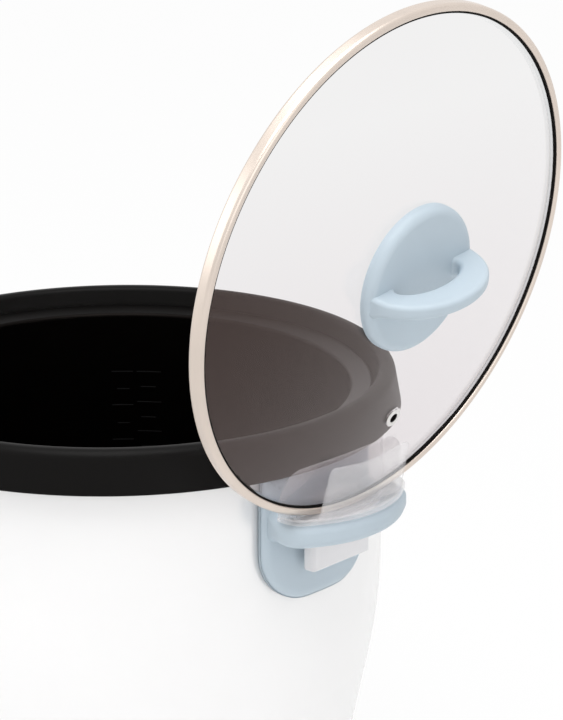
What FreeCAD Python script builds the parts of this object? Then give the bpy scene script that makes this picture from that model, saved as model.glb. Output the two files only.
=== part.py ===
import FreeCAD
import Part
import math
import os
from FreeCAD import Vector

# Drum rice cooker with its glass lid standing in the clear holder on the right handle.
# Millimetres, +Z up. The origin is the centre of the base on the table plane.
# The switch panel faces -Y, the power inlet +Y, and the handle with the lid holder is on +X.

# Barrel: vertical wall above the knee, straight taper below it
SHELL_R = 134.0
SHELL_FOOT_R = 112.9
SHELL_KNEE_Z = 115.6
SHELL_KNEE_RADIUS = 279.0
SHELL_WALL = 1.2
SHELL_BOTTOM_Z = 12.0
SHELL_TOP_Z = 226.0
SHELL_LIP_R = 107.0
OUTSIDE = 150.0
FIT = 0.2
FINE_EDGE = 0.5
SOFT_EDGE = 0.8

# Collar over the top edge of the barrel
COLLAR_CREST_Z = 240.0
COLLAR_CREST_INNER_R = 131.8
COLLAR_CREST_OUTER_R = 139.3
COLLAR_INNER_ROUND = 3.0
COLLAR_OUTER_ROUND = 5.0
COLLAR_SKIRT_R = 143.0
COLLAR_SKIRT_Z = 219.0
COLLAR_SKIRT_T = 2.4
COLLAR_SKIRT_ROUND = 1.1
COLLAR_ROOF_Z = 237.0
COLLAR_ROOF_R = 137.3
COLLAR_SEAT_R = 135.6
COLLAR_NECK_R = 121.0
COLLAR_NECK_Z = 214.0
COLLAR_NECK_T = 2.6
COLLAR_LEDGE_Z = 227.1
COLLAR_LEDGE_R = 129.0
COLLAR_LEDGE_OUTER_Z = 229.1
COLLAR_STEP_R = 129.6
COLLAR_STEP_Z = 232.0

# Inner pot
POT_R = 117.5
POT_WALL = 2.0
POT_BOTTOM_Z = 70.2
POT_CORNER_R = 24.0
POT_MOUTH_Z = 228.9
POT_FLANGE_R = 128.2
POT_FLANGE_Z = 231.4
POT_FLANGE_UNDER_Z = 229.25
POT_FLANGE_EDGE = 0.7
POT_MOUTH_ROUND = 2.0

# Liner that hangs from the collar
LINER_R = 124.5
LINER_WALL = 1.0
LINER_FLOOR_Z = 45.0
LINER_FOOT_R = 106.0
LINER_WAIST_R = 120.8
LINER_WAIST_Z = 91.0
LINER_SHOULDER_Z = 135.0
LINER_HOLE_R = 26.0
LINER_BEND_R = 30.0
LINER_FOOT_ROUND = 8.0

# Base
WEB_Z = 9.5
WEB_INNER_R = 88.0
BASE_BOTTOM_Z = 3.5
BASE_INNER_R = 107.5
BASE_FOOT_R = 110.9
BASE_FOOT_ROUND = 1.6
BOSS_R = 4.5
BOSS_TOP_Z = 20.0
COVER_T = 1.2
COVER_R = 106.3
FOOT_CIRCLE_R = 97.0
FOOT_R = 8.0
FOOT_FLARE = 1.5
FOOT_STEM_R = 3.0
FOOT_BARB_R = 4.3
FOOT_TIP_R = 2.4
FOOT_BARB_H = 4.0
FOOT_ANGLES = (45, 135, 225, 315)
COVER_SCREW_ANGLES = (60, 120, 240, 300)
COVER_SCREW_R = 1.9
COVER_SCREW_TIP_Z = 18.5
COVER_HEAD_R = 3.8
COVER_HEAD_H = 2.2
VENT_SLOT_COUNT = 12
VENT_SLOT_INNER_R = 34.0
VENT_SLOT_OUTER_R = 62.0
VENT_SLOT_HALF_W = 2.5

# Heating plate and what carries it
PLATE_R = 86.0
PLATE_HOLE_R = 20.0
PLATE_BOTTOM_Z = 60.5
PLATE_TOP_Z = 69.8
PLATE_EDGE = 2.2
ELEMENT_R = 58.0
ELEMENT_TUBE_R = 5.5
TERMINAL_ANGLES = (75, 105)
TERMINAL_BOTTOM_Z = 34.0
TERMINAL_TOP_Z = 52.0
TERMINAL_R = 2.0
TERMINAL_COLLAR_R = 3.6
TERMINAL_COLLAR_H = 3.0
TERMINAL_COLLAR_GAP = 1.5
TERMINAL_PAD_R = 4.5
POST_CIRCLE_R = 72.0
POST_ANGLES = (30, 150, 270)
POST_R = 4.5
POST_BORE_R = 2.0
POST_SCREW_R = 1.95
POST_SCREW_TOP_Z = 66.0
POST_HEAD_R = 3.6
POST_HEAD_H = 2.6

# Sprung temperature sensor in the middle of the plate
SENSOR_R = 17.0
SENSOR_TOP_Z = 69.9
SENSOR_ROOF = 1.3
SENSOR_WALL = 1.2
SENSOR_SKIRT_Z = 56.0
FERRITE_R = 9.5
FERRITE_T = 6.0
SLEEVE_R = 12.2
SLEEVE_WALL = 1.6
SLEEVE_BOTTOM_Z = 38.0
SLEEVE_TOP_Z = 61.5
SLEEVE_FLANGE_Z = 46.0
SLEEVE_FLANGE_T = 1.0
SLEEVE_OVERLAP = 2.5
SPRING_R = 14.0
SPRING_WIRE_R = 0.6
SPRING_TURNS = 4
MAGNET_R = 9.8
MAGNET_BOTTOM_Z = 49.5
MAGNET_TOP_Z = 56.6
STEM_R = 2.5
STEM_BOTTOM_Z = 26.6
CROSSHEAD_R = 5.0
CROSSHEAD_T = 1.8
CROSSHEAD_GAP = 0.5
NUT_R = 4.2
NUT_T = 1.6
NUT_GAP = 0.6

# Cook lever
PIVOT_Y = -40.0
PIVOT_Z = 30.0
PIN_R = 2.0
PIN_GAP = 0.05
PIN_HALF_W = 16.0
LEVER_T = 2.4
LEVER_HALF_W = 6.0
LEVER_FRONT_Y = -132.0
LEVER_ROUND = 2.0
LEVER_HUB_R = 4.2
LEVER_HUB_HALF_W = 11.0
FORK_HALF_W = 7.0
FORK_SLOT_HALF_W = 3.4
FORK_END_Y = 3.5
FORK_ROOT_Y = -14.0
FORK_ROUND = 1.5
FORK_SLOT_ROUND = 3.0
TAB_HALF_W = 14.0
TAB_FRONT_Y = -136.5
TAB_BACK_Y = -124.5
TAB_BOTTOM_Z = 25.5
TAB_FRONT_TOP_Z = 32.5
TAB_BACK_TOP_Z = 34.5
TAB_NOSE_R = 3.0
TAB_EDGE = 0.7
EAR_T = 1.6
EAR_X = 12.0
EAR_BOTTOM_Z = 24.5
EAR_HALF_W = 6.0
EAR_TOP_HALF_W = 8.5
EAR_ROUND = 5.0

# Switch, keep-warm band, fuse and thermostat round the liner
SWITCH_HALF_W = 6.0
SWITCH_FRONT_Y = -100.0
SWITCH_BACK_Y = -80.0
SWITCH_BOTTOM_Z = 34.5
SWITCH_BUTTON_Y = -94.0
SWITCH_BUTTON_Z = 32.0
SWITCH_BUTTON_R = 1.6
SWITCH_SPADE_Y = -87.0
SWITCH_SPADE_Z = 38.0
SPADE_LENGTH = 3.0
SPADE_HALF_W = 2.5
SPADE_T = 0.8
BAND_BOTTOM_Z = 148.0
BAND_TOP_Z = 184.0
BAND_T = 1.6
FUSE_Y = 74.0
FUSE_DROP = 4.0
FUSE_R = 2.6
FUSE_HALF_W = 9.0
FUSE_LEAD_R = 0.9
FUSE_LEAD_HALF_W = 15.0
CLIP_HALF_W = 3.4
WARM_X = -70.0
WARM_Y = -10.0
WARM_R = 8.5
WARM_BOTTOM_Z = 38.5
WARM_SPADE_X = 5.0
WARM_SPADE_Z = 33.0

# Front panel
PANEL_T = 5.0
PANEL_HALF_W = 30.0
PANEL_BOTTOM_Z = 17.0
PANEL_TOP_Z = 96.0
PANEL_SCREW_Z = 56.0
PANEL_SCREW_ANGLE = 10.0
PANEL_LOW_ROUND = 20.0
PANEL_HIGH_ROUND = 12.0
PANEL_EDGE = 2.2
SLOT_HALF_W = 9.0
SLOT_BOTTOM_Z = 19.5
SLOT_TOP_Z = 34.5
SLOT_ROUND = 3.0
SMALL_SCREW_R = 1.55
SMALL_SCREW_HOLE_R = 1.6
SMALL_HEAD_R = 3.2
SMALL_HEAD_H = 2.2
PANEL_SCREW_LENGTH = 4.2
LAMP_Z = 78.0
LAMP_X = 11.0
LAMP_R = 4.0
LAMP_BACK_Y = -123.5
LAMP_LENGTH = 9.4
LAMP_BEVEL = 1.4
LAMP_WINDOW_HALF_W = 18.0
LAMP_WINDOW_HALF_H = 8.0
BULB_R = 2.4
BULB_LENGTH = 4.5

# Power inlet
INLET_Z = 29.0
INLET_HALF_W = 15.0
INLET_HALF_H = 10.5
INLET_BACK_Y = 92.0
INLET_FACE_Y = 121.5
INLET_FLANGE_HALF_W = 23.5
INLET_FLANGE_HALF_H = 14.0
INLET_CORNER_R = 5.0
INLET_FLOOR = 6.0
SOCKET_HALF_W = 12.5
SOCKET_HALF_H = 8.0
SOCKET_LOW_ROUND = 2.0
INLET_SCREW_X = 19.0
INLET_SCREW_BACK_Y = 109.0
INLET_HEAD_H = 1.8
INLET_PINS = ((-6.5, 26.0), (6.5, 26.0), (0.0, 33.0))
INLET_PIN_R = 2.0
INLET_PIN_TAIL = 4.0
INLET_PIN_SET_BACK = 5.0
INLET_PIN_BEVEL = 0.9

# Leads inside the base: from the inlet to the heater, and from the switch to the thermostat
LEAD_R = 1.2
LEAD_BEND_SHARE = 0.45
LEAD_LOW_Z = 21.0
INLET_LEAD_ROUTE = ((6.5, 88.0, 26.0), (6.5, 79.0, 26.0), (12.0, 67.0, 19.0))
SWITCH_LEAD_ROUTE = (
    (-9.0, -87.0, 38.4), (-22.0, -87.0, 38.4), (-48.0, -70.0, 30.0), (-68.0, -42.0, 23.0),
    (-75.0, -18.0, 20.0), (-75.0, -10.1, 24.0), (-75.0, -10.1, 33.0),
)

# Handles: curved base plate and D-shaped loop
HANDLE_PLATE_T = 6.2
HANDLE_HALF_W = 38.0
HANDLE_BOTTOM_Z = 152.9
HANDLE_TOP_Z = 220.5
HANDLE_CORNER_R = 27.0
HANDLE_TOP_CORNER_R = 3.0
HANDLE_EDGE = 4.0
LOOP_BACK_X = 121.0
LOOP_ROOT_X = 134.5
LOOP_ROOT_HALF_W = 35.6
LOOP_ROOT_R = 4.0
LOOP_SHOULDER_X = 155.0
LOOP_SHOULDER_HALF_W = 44.7
LOOP_SHOULDER_R = 13.0
LOOP_NOSE_X = 182.2
LOOP_NOSE_R = 56.3
LOOP_BAR = 10.0
LOOP_BOTTOM_Z = 189.0
LOOP_TOP_Z = 200.8
LOOP_EDGE_R = 4.6
HANDLE_SCREW_ANGLE = 13.4
HANDLE_SCREW_Z = 194.9
HANDLE_SCREW_START_R = 129.8
HANDLE_SCREW_R = 1.95
HANDLE_SCREW_HOLE_R = 2.0
HANDLE_SCREW_LENGTH = 16.5
HANDLE_HEAD_R = 4.0
HANDLE_HEAD_H = 2.8

# Clear drip cup that also holds the lid
CUP_WALL = 1.5
RESERVOIR_WALL = 1.2
RESERVOIR_ROUND = 2.0
CUP_BACK_X = 143.6
CUP_FRONT_X = 151.0
CUP_HALF_W = 20.5
CUP_BOTTOM_Z = 171.0
TUB_BOTTOM_Z = 198.8
TUB_GAP = 0.4
TUB_BACK_X = 145.2
TUB_LEDGE = 0.8
TRAY_BOTTOM_Z = 201.0
TRAY_INSET = 0.6
TRAY_BACK_X = 144.4
LIP_TOP_Z = 203.9
REST_SWEEP_R = 90.0
BACK_REST_FOOT_HALF_W = 40.0
BACK_REST_HALF_W = 46.0
BACK_REST_TOP_Z = 227.0
BACK_REST_X = 145.2
BACK_REST_CORNER_R = 12.0
BACK_REST_DIP = 1.0
FRONT_REST_FOOT_HALF_W = 29.2
FRONT_REST_HALF_W = 28.0
FRONT_REST_TOP_Z = 229.5
FRONT_REST_X = 160.9
FRONT_REST_TOP_X = 167.5
FRONT_REST_CORNER_R = 3.0
FRONT_REST_DIP = 4.0

# Lid, modelled flat about its own rim plane and then stood in the holder
LID_R = 125.0
LID_DOME = 15.5
LID_GLASS_R = 123.4
LID_GLASS_EDGE_Z = -2.2
LID_GLASS_T = 2.8
LID_LEAN = 10.8
LID_TURN = 8.5
LID_CENTRE_X = 177.8
LID_CENTRE_Z = 323.0
RIM_T = 0.6
RIM_LIP_R = 121.1
RIM_LIP_Z = -0.3
RIM_TOP_Z = 1.0
RIM_BEAD_ROUND = 1.85
RIM_LIP_ROUND = 1.0
RIM_LOW_ROUND = 1.2
RIM_FLANGE_R = 122.6
RIM_BOTTOM_Z = -5.8
SEAL_LIP_R = 120.4
SEAL_TOP_Z = -0.4
KNOB_R = 35.6
KNOB_FACE = 20.5
KNOB_EDGE_R = 4.4
KNOB_UNDER = 5.0
KNOB_LOOP_HALF_W = 34.4
KNOB_LOOP_RISE = 26.4
KNOB_GAP_HALF_W = 22.0
KNOB_GAP_RISE = 11.4
KNOB_ROOT = 5.0
KNOB_HALF_T = 3.6
KNOB_CRISP_R = 0.8
KNOB_SOFT_R = 2.8
KNOB_SCREW_R = 1.95
KNOB_BORE_R = 2.0
KNOB_SCREW_TIP = 18.2
KNOB_HEAD_R = 6.5
KNOB_HEAD_H = 2.6
KNOB_HOLE_R = 4.0
VENT_R = 78.4
VENT_FLANGE_R = 4.6
VENT_FLANGE_T = 0.6
VENT_FLANGE_EDGE = 0.25
VENT_TUBE_R = 3.1
VENT_TUBE_DEPTH = 3.4
VENT_BORE_R = 2.4

LID_RISE = LID_DOME - LID_GLASS_EDGE_Z
LID_SPHERE_R = (LID_GLASS_R ** 2 + LID_RISE ** 2) / (2 * LID_RISE)
LID_SPHERE_CENTRE = Vector(0, 0, LID_DOME - LID_SPHERE_R)
WASHER_R = 9.0
WASHER_BORE_R = 2.1
WASHER_T = 1.6
WASHER_TOP = LID_DOME - LID_GLASS_T - FIT / 2
AXIS_Z = Vector(0, 0, 1)


def section(u, v):
    """Point of a turned profile: radius and height."""
    return Vector(u, 0, v)


def plan(z):
    """Places an outline's points flat at height z."""
    return lambda u, v: Vector(u, v, z)


def facing_x(x):
    """Places an outline's points, width and height, on a plane across X."""
    return lambda u, v: Vector(x, u, v)


def facing_y(y):
    """Places an outline's points, width and height, on a plane across Y."""
    return lambda u, v: Vector(u, y, v)


def rounded_wire(corners, place):
    """Closed wire through corners (u, v, radius), each radius a tangent arc."""
    joints = []
    for i, (u, v, radius) in enumerate(corners):
        corner = Vector(u, v, 0)
        before = (Vector(*corners[i - 1][:2], 0) - corner).normalize()
        after = (Vector(*corners[(i + 1) % len(corners)][:2], 0) - corner).normalize()
        if radius == 0:
            joints.append((corner, corner, corner))
            continue
        half = before.getAngle(after) / 2
        reach = radius / math.tan(half)
        middle = (before + after).normalize() * (radius / math.sin(half) - radius)
        joints.append((corner + before * reach, corner + middle, corner + after * reach))
    edges = []
    for i, (start, middle, end) in enumerate(joints):
        if start != end:
            points = [place(p.x, p.y) for p in (start, middle, end)]
            edges.append(Part.Arc(*points).toShape())
        following = joints[(i + 1) % len(joints)][0]
        if end.distanceToPoint(following) > 1e-6:
            edges.append(Part.makeLine(place(end.x, end.y), place(following.x, following.y)))
    return Part.Wire(edges)


def turned(corners):
    """Solid of revolution about Z from a profile of (radius, height, corner radius)."""
    face = Part.Face(rounded_wire(corners, section))
    return face.revolve(Vector(), AXIS_Z, 360)


def extruded(corners, place, along):
    """Prism of a rounded outline."""
    return Part.Face(rounded_wire(corners, place)).extrude(along)


def box(x0, x1, y0, y1, z0, z1):
    """Box between two corners."""
    return Part.makeBox(x1 - x0, y1 - y0, z1 - z0, Vector(x0, y0, z0))


def rod(start, end, radius):
    """Round bar between two points."""
    return Part.makeCylinder(radius, start.distanceToPoint(end), start, end - start)


def polar(radius, angle, z):
    """Point at a radius and an angle from +X."""
    turn = math.radians(angle)
    return Vector(radius * math.cos(turn), radius * math.sin(turn), z)


def ring_of(shape, angles):
    """Copies of a shape made on +X, turned about Z to each angle."""
    copies = []
    for angle in angles:
        copy = shape.copy()
        copy.rotate(Vector(), AXIS_Z, angle)
        copies.append(copy)
    return copies


def barrel_solid(offset):
    """The barrel's filled outer form, grown outwards by an offset."""
    knee = SHELL_KNEE_RADIUS + offset
    return turned([
        (0, SHELL_BOTTOM_Z, 0),
        (SHELL_FOOT_R + offset, SHELL_BOTTOM_Z, 0),
        (SHELL_R + offset, SHELL_KNEE_Z, knee),
        (SHELL_R + offset, SHELL_TOP_Z, 0),
        (0, SHELL_TOP_Z, 0),
    ])


def outer_shell():
    """Tapered sheet barrel with an inward lip at the foot and its cut-outs."""
    inner = SHELL_R - SHELL_WALL
    lip_top = SHELL_BOTTOM_Z + SHELL_WALL
    shell = turned([
        (SHELL_LIP_R, SHELL_BOTTOM_Z, 0),
        (SHELL_FOOT_R, SHELL_BOTTOM_Z, 0),
        (SHELL_R, SHELL_KNEE_Z, SHELL_KNEE_RADIUS),
        (SHELL_R, SHELL_TOP_Z, 0),
        (inner, SHELL_TOP_Z, 0),
        (inner, SHELL_KNEE_Z, SHELL_KNEE_RADIUS - SHELL_WALL),
        (SHELL_FOOT_R - SHELL_WALL, lip_top, 0),
        (SHELL_LIP_R, lip_top, 0),
    ])
    cuts = [
        lever_slot(),
        box(-LAMP_WINDOW_HALF_W, LAMP_WINDOW_HALF_W, -OUTSIDE, -SHELL_LIP_R,
            LAMP_Z - LAMP_WINDOW_HALF_H, LAMP_Z + LAMP_WINDOW_HALF_H),
        box(-INLET_HALF_W - FIT, INLET_HALF_W + FIT, SHELL_LIP_R, OUTSIDE,
            INLET_Z - INLET_HALF_H - FIT, INLET_Z + INLET_HALF_H + FIT),
    ]
    cuts += handle_screw_holes() + panel_screw_holes() + inlet_screw_holes()
    return shell.cut(Part.makeCompound(cuts))


def top_collar():
    """Moulded ring: neck inside the liner, ledge for the pot, crest and flared skirt."""
    return turned([
        (COLLAR_NECK_R, COLLAR_NECK_Z, 0),
        (COLLAR_NECK_R, COLLAR_LEDGE_Z, SOFT_EDGE),
        (COLLAR_LEDGE_R, COLLAR_LEDGE_OUTER_Z, FINE_EDGE),
        (COLLAR_STEP_R, COLLAR_STEP_Z, SOFT_EDGE),
        (COLLAR_CREST_INNER_R, COLLAR_CREST_Z, COLLAR_INNER_ROUND),
        (COLLAR_CREST_OUTER_R, COLLAR_CREST_Z, COLLAR_OUTER_ROUND),
        (COLLAR_SKIRT_R, COLLAR_SKIRT_Z, COLLAR_SKIRT_ROUND),
        (COLLAR_SKIRT_R - COLLAR_SKIRT_T, COLLAR_SKIRT_Z, FINE_EDGE),
        (COLLAR_ROOF_R, COLLAR_ROOF_Z, 0),
        (COLLAR_SEAT_R, COLLAR_ROOF_Z, 0),
        (COLLAR_SEAT_R, SHELL_TOP_Z, 0),
        (COLLAR_NECK_R + COLLAR_NECK_T, SHELL_TOP_Z, 0),
        (COLLAR_NECK_R + COLLAR_NECK_T, COLLAR_NECK_Z, 0),
    ])


def inner_pot():
    """Deep-drawn pot with a flange that slopes up and out."""
    outer = POT_R + POT_WALL
    return turned([
        (0, POT_BOTTOM_Z, 0),
        (outer, POT_BOTTOM_Z, POT_CORNER_R + POT_WALL),
        (outer, COLLAR_LEDGE_Z, SOFT_EDGE),
        (POT_FLANGE_R, POT_FLANGE_UNDER_Z, POT_FLANGE_EDGE),
        (POT_FLANGE_R, POT_FLANGE_Z, POT_FLANGE_EDGE),
        (POT_R, POT_MOUTH_Z, POT_MOUTH_ROUND),
        (POT_R, POT_BOTTOM_Z + POT_WALL, POT_CORNER_R),
        (0, POT_BOTTOM_Z + POT_WALL, 0),
    ])


def inner_chamber():
    """Sheet liner: hanging flange, tapered foot inside the barrel's taper, and a pierced floor."""
    outer = LINER_R + LINER_WALL
    rim = SHELL_R - SHELL_WALL - FIT
    floor = LINER_FLOOR_Z + LINER_WALL
    liner = turned([
        (LINER_HOLE_R, LINER_FLOOR_Z, 0),
        (LINER_FOOT_R + LINER_WALL, LINER_FLOOR_Z, LINER_FOOT_ROUND + LINER_WALL),
        (LINER_WAIST_R + LINER_WALL, LINER_WAIST_Z, LINER_BEND_R),
        (outer, LINER_SHOULDER_Z, LINER_BEND_R),
        (outer, SHELL_TOP_Z - LINER_WALL, 0),
        (rim, SHELL_TOP_Z - LINER_WALL, 0),
        (rim, SHELL_TOP_Z, 0),
        (LINER_R, SHELL_TOP_Z, 0),
        (LINER_R, LINER_SHOULDER_Z, LINER_BEND_R),
        (LINER_WAIST_R, LINER_WAIST_Z, LINER_BEND_R),
        (LINER_FOOT_R, floor, LINER_FOOT_ROUND),
        (LINER_HOLE_R, floor, 0),
    ])
    holes = []
    below, above = LINER_FLOOR_Z - LINER_WALL, floor + LINER_WALL
    for angle in TERMINAL_ANGLES:
        holes.append(rod(polar(ELEMENT_R, angle, below), polar(ELEMENT_R, angle, above), TERMINAL_PAD_R))
    for angle in POST_ANGLES:
        holes.append(rod(polar(POST_CIRCLE_R, angle, below), polar(POST_CIRCLE_R, angle, above), POST_BORE_R))
    return liner.cut(Part.makeCompound(holes))


def base_ring():
    """Moulded ring under the barrel, with a web for the cover and bosses for its screws."""
    ring = turned([
        (WEB_INNER_R, WEB_Z, 0),
        (BASE_INNER_R, WEB_Z, SOFT_EDGE),
        (BASE_INNER_R, BASE_BOTTOM_Z, SOFT_EDGE),
        (BASE_FOOT_R, BASE_BOTTOM_Z, BASE_FOOT_ROUND),
        (SHELL_FOOT_R, SHELL_BOTTOM_Z, 0),
        (WEB_INNER_R, SHELL_BOTTOM_Z, 0),
    ])
    boss = rod(Vector(FOOT_CIRCLE_R, 0, SHELL_BOTTOM_Z), Vector(FOOT_CIRCLE_R, 0, BOSS_TOP_Z), BOSS_R)
    ring = ring.fuse(ring_of(boss, COVER_SCREW_ANGLES))
    return ring.cut(Part.makeCompound(cover_holes()))


def cover_holes():
    """Holes of the cover and the web, for the screws and the feet's stems."""
    bottom = Vector(FOOT_CIRCLE_R, 0, 0)
    top = Vector(FOOT_CIRCLE_R, 0, COVER_SCREW_TIP_Z + FINE_EDGE)
    screw = rod(bottom, top, COVER_SCREW_R)
    stem = rod(bottom, top, FOOT_STEM_R)
    return ring_of(screw, COVER_SCREW_ANGLES) + ring_of(stem, FOOT_ANGLES)


def bottom_cover():
    """Flat sheet cover with a ring of vent slots."""
    bottom = WEB_Z - COVER_T
    cover = Part.makeCylinder(COVER_R, COVER_T, Vector(0, 0, bottom))
    slot_round = VENT_SLOT_HALF_W - FIT / 2
    slot = extruded([
        (VENT_SLOT_INNER_R, -VENT_SLOT_HALF_W, slot_round),
        (VENT_SLOT_OUTER_R, -VENT_SLOT_HALF_W, slot_round),
        (VENT_SLOT_OUTER_R, VENT_SLOT_HALF_W, slot_round),
        (VENT_SLOT_INNER_R, VENT_SLOT_HALF_W, slot_round),
    ], plan(bottom), Vector(0, 0, COVER_T))
    slots = ring_of(slot, [360 / VENT_SLOT_COUNT * i for i in range(VENT_SLOT_COUNT)])
    return cover.cut(Part.makeCompound(slots + cover_holes()))


def pan_head(seat, radius, height):
    """Bevelled head of a screw, hanging below its seat."""
    bevel = height / 2
    return turned([
        (0, seat - height, 0),
        (radius - bevel, seat - height, 0),
        (radius, seat - height + bevel, 0),
        (radius, seat, 0),
        (0, seat, 0),
    ])


def bottom_screws():
    """Pan-head screws that hold the cover to the base ring."""
    seat = WEB_Z - COVER_T
    screw = pan_head(seat, COVER_HEAD_R, COVER_HEAD_H)
    screw = screw.fuse(Part.makeCylinder(COVER_SCREW_R, COVER_SCREW_TIP_Z - seat, Vector(0, 0, seat)))
    screw.translate(Vector(FOOT_CIRCLE_R, 0, 0))
    return Part.makeCompound(ring_of(screw, COVER_SCREW_ANGLES))


def rubber_feet():
    """Push-in feet: a tapered pad, a stem through cover and web, and a barb above."""
    seat = WEB_Z - COVER_T
    foot = turned([
        (0, 0, 0),
        (FOOT_R, 0, 0),
        (FOOT_R + FOOT_FLARE, seat, 0),
        (FOOT_STEM_R, seat, 0),
        (FOOT_STEM_R, SHELL_BOTTOM_Z, 0),
        (FOOT_BARB_R, SHELL_BOTTOM_Z, 0),
        (FOOT_TIP_R, SHELL_BOTTOM_Z + FOOT_BARB_H, 0),
        (0, SHELL_BOTTOM_Z + FOOT_BARB_H, 0),
    ])
    foot.translate(Vector(FOOT_CIRCLE_R, 0, 0))
    return Part.makeCompound(ring_of(foot, FOOT_ANGLES))


def heating_plate():
    """Cast disc with the element's tube as a swelling underneath, terminal pads and screw holes."""
    disc = turned([
        (PLATE_HOLE_R, PLATE_BOTTOM_Z, 0),
        (PLATE_R, PLATE_BOTTOM_Z, PLATE_EDGE),
        (PLATE_R, PLATE_TOP_Z, PLATE_EDGE),
        (PLATE_HOLE_R, PLATE_TOP_Z, SOFT_EDGE),
    ])
    element = Part.makeTorus(ELEMENT_R, ELEMENT_TUBE_R, Vector(0, 0, PLATE_BOTTOM_Z))
    pad_top = Vector(ELEMENT_R, 0, PLATE_BOTTOM_Z + FINE_EDGE)
    pad = rod(Vector(ELEMENT_R, 0, TERMINAL_TOP_Z), pad_top, TERMINAL_PAD_R)
    plate = disc.fuse([element] + ring_of(pad, TERMINAL_ANGLES))
    hole_top = Vector(POST_CIRCLE_R, 0, POST_SCREW_TOP_Z + FINE_EDGE)
    hole = rod(Vector(POST_CIRCLE_R, 0, LINER_FLOOR_Z), hole_top, POST_BORE_R)
    return plate.cut(Part.makeCompound(ring_of(hole, POST_ANGLES)))


def heater_terminals():
    """Two cold pins of the element, with a collar, that pass through the liner's floor."""
    pin = rod(Vector(ELEMENT_R, 0, TERMINAL_BOTTOM_Z), Vector(ELEMENT_R, 0, TERMINAL_TOP_Z), TERMINAL_R)
    low = Vector(ELEMENT_R, 0, LINER_FLOOR_Z + TERMINAL_COLLAR_GAP)
    collar = rod(low, low + AXIS_Z * TERMINAL_COLLAR_H, TERMINAL_COLLAR_R)
    return Part.makeCompound(ring_of(pin.fuse(collar), TERMINAL_ANGLES))


def plate_posts():
    """Tubular posts between the liner's floor and the plate."""
    floor = LINER_FLOOR_Z + LINER_WALL
    start = Vector(POST_CIRCLE_R, 0, floor)
    end = Vector(POST_CIRCLE_R, 0, PLATE_BOTTOM_Z)
    post = rod(start, end, POST_R).cut(rod(start, end, POST_BORE_R))
    return Part.makeCompound(ring_of(post, POST_ANGLES))


def plate_screws():
    """Screws from under the liner, through the posts, into the plate."""
    seat = Vector(POST_CIRCLE_R, 0, LINER_FLOOR_Z)
    head = rod(seat - AXIS_Z * POST_HEAD_H, seat, POST_HEAD_R)
    shank = rod(seat, Vector(POST_CIRCLE_R, 0, POST_SCREW_TOP_Z), POST_SCREW_R)
    return Part.makeCompound(ring_of(head.fuse(shank), POST_ANGLES))


def sensor_cap():
    """Drawn aluminium cap that the pot presses on."""
    roof = SENSOR_TOP_Z - SENSOR_ROOF
    inner = SENSOR_R - SENSOR_WALL
    return turned([
        (0, SENSOR_TOP_Z, 0),
        (0, roof, 0),
        (inner, roof, 0),
        (inner, SENSOR_SKIRT_Z, 0),
        (SENSOR_R, SENSOR_SKIRT_Z, 0),
        (SENSOR_R, SENSOR_TOP_Z - SENSOR_WALL, 0),
        (inner, SENSOR_TOP_Z, 0),
    ])


def sensor_ferrite():
    """Ferrite slug fixed under the cap's roof."""
    roof = SENSOR_TOP_Z - SENSOR_ROOF
    return Part.makeCylinder(FERRITE_R, FERRITE_T, Vector(0, 0, roof - FERRITE_T))


def sensor_sleeve():
    """Flanged steel sleeve that guides the magnet and carries the spring."""
    inner = SLEEVE_R - SLEEVE_WALL
    flange = LINER_HOLE_R + SLEEVE_OVERLAP
    flange_top = SLEEVE_FLANGE_Z + SLEEVE_FLANGE_T
    return turned([
        (inner, SLEEVE_BOTTOM_Z, 0),
        (SLEEVE_R, SLEEVE_BOTTOM_Z, 0),
        (SLEEVE_R, SLEEVE_FLANGE_Z, 0),
        (flange, SLEEVE_FLANGE_Z, 0),
        (flange, flange_top, 0),
        (SLEEVE_R, flange_top, 0),
        (SLEEVE_R, SLEEVE_TOP_Z, 0),
        (inner, SLEEVE_TOP_Z, 0),
    ])


def arc_from(start, tangent, end):
    """Arc that leaves its start along a tangent and reaches an end."""
    chord = end - start
    along = Vector(chord).normalize()
    side = tangent - along * tangent.dot(along)
    rise = chord.Length / 2 * math.tan(tangent.getAngle(chord) / 2)
    middle = start + chord * 0.5 + side.normalize() * rise
    return Part.Arc(start, middle, end).toShape()


def sensor_spring():
    """Helix of round wire, each quarter turn a pair of tangent arcs."""
    low = SLEEVE_FLANGE_Z + SLEEVE_FLANGE_T + SPRING_WIRE_R
    high = SENSOR_TOP_Z - SENSOR_ROOF - SPRING_WIRE_R
    steps = SPRING_TURNS * 4
    climb = (high - low) / (steps * math.pi / 2)

    def point(step):
        return polar(SPRING_R, 90 * step, low + (high - low) * step / steps)

    def tangent(step):
        return (polar(SPRING_R, 90 * step + 90, 0) + AXIS_Z * climb).normalize()

    edges = []
    for step in range(steps):
        start, end = point(step), point(step + 1)
        leave, arrive = tangent(step), tangent(step + 1)
        span = end - start
        spread = 2 * (1 - leave.dot(arrive))
        pull = span.dot(leave + arrive)
        reach = (-pull + math.sqrt(pull ** 2 + spread * span.dot(span))) / spread
        joint = (start + leave * reach + end - arrive * reach) * 0.5
        edges.append(arc_from(start, leave, joint))
        edges.append(arc_from(end, arrive * -1, joint))
    spine = Part.Wire(Part.__sortEdges__(edges))
    return spine.makePipeShell([wire_section(point(0), tangent(0), SPRING_WIRE_R)], True, False)


def wire_section(centre, along, radius):
    """Six-sided section of a wire or lead, square to its run."""
    across = along.cross(Vector(1, 0, 0)) if abs(along.x) < abs(along.y) else along.cross(Vector(0, 1, 0))
    across.normalize()
    other = Vector(along).normalize().cross(across)
    points = []
    for step in range(7):
        turn = math.radians(60 * step)
        points.append(centre + (across * math.cos(turn) + other * math.sin(turn)) * radius)
    return Part.makePolygon(points)


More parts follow.
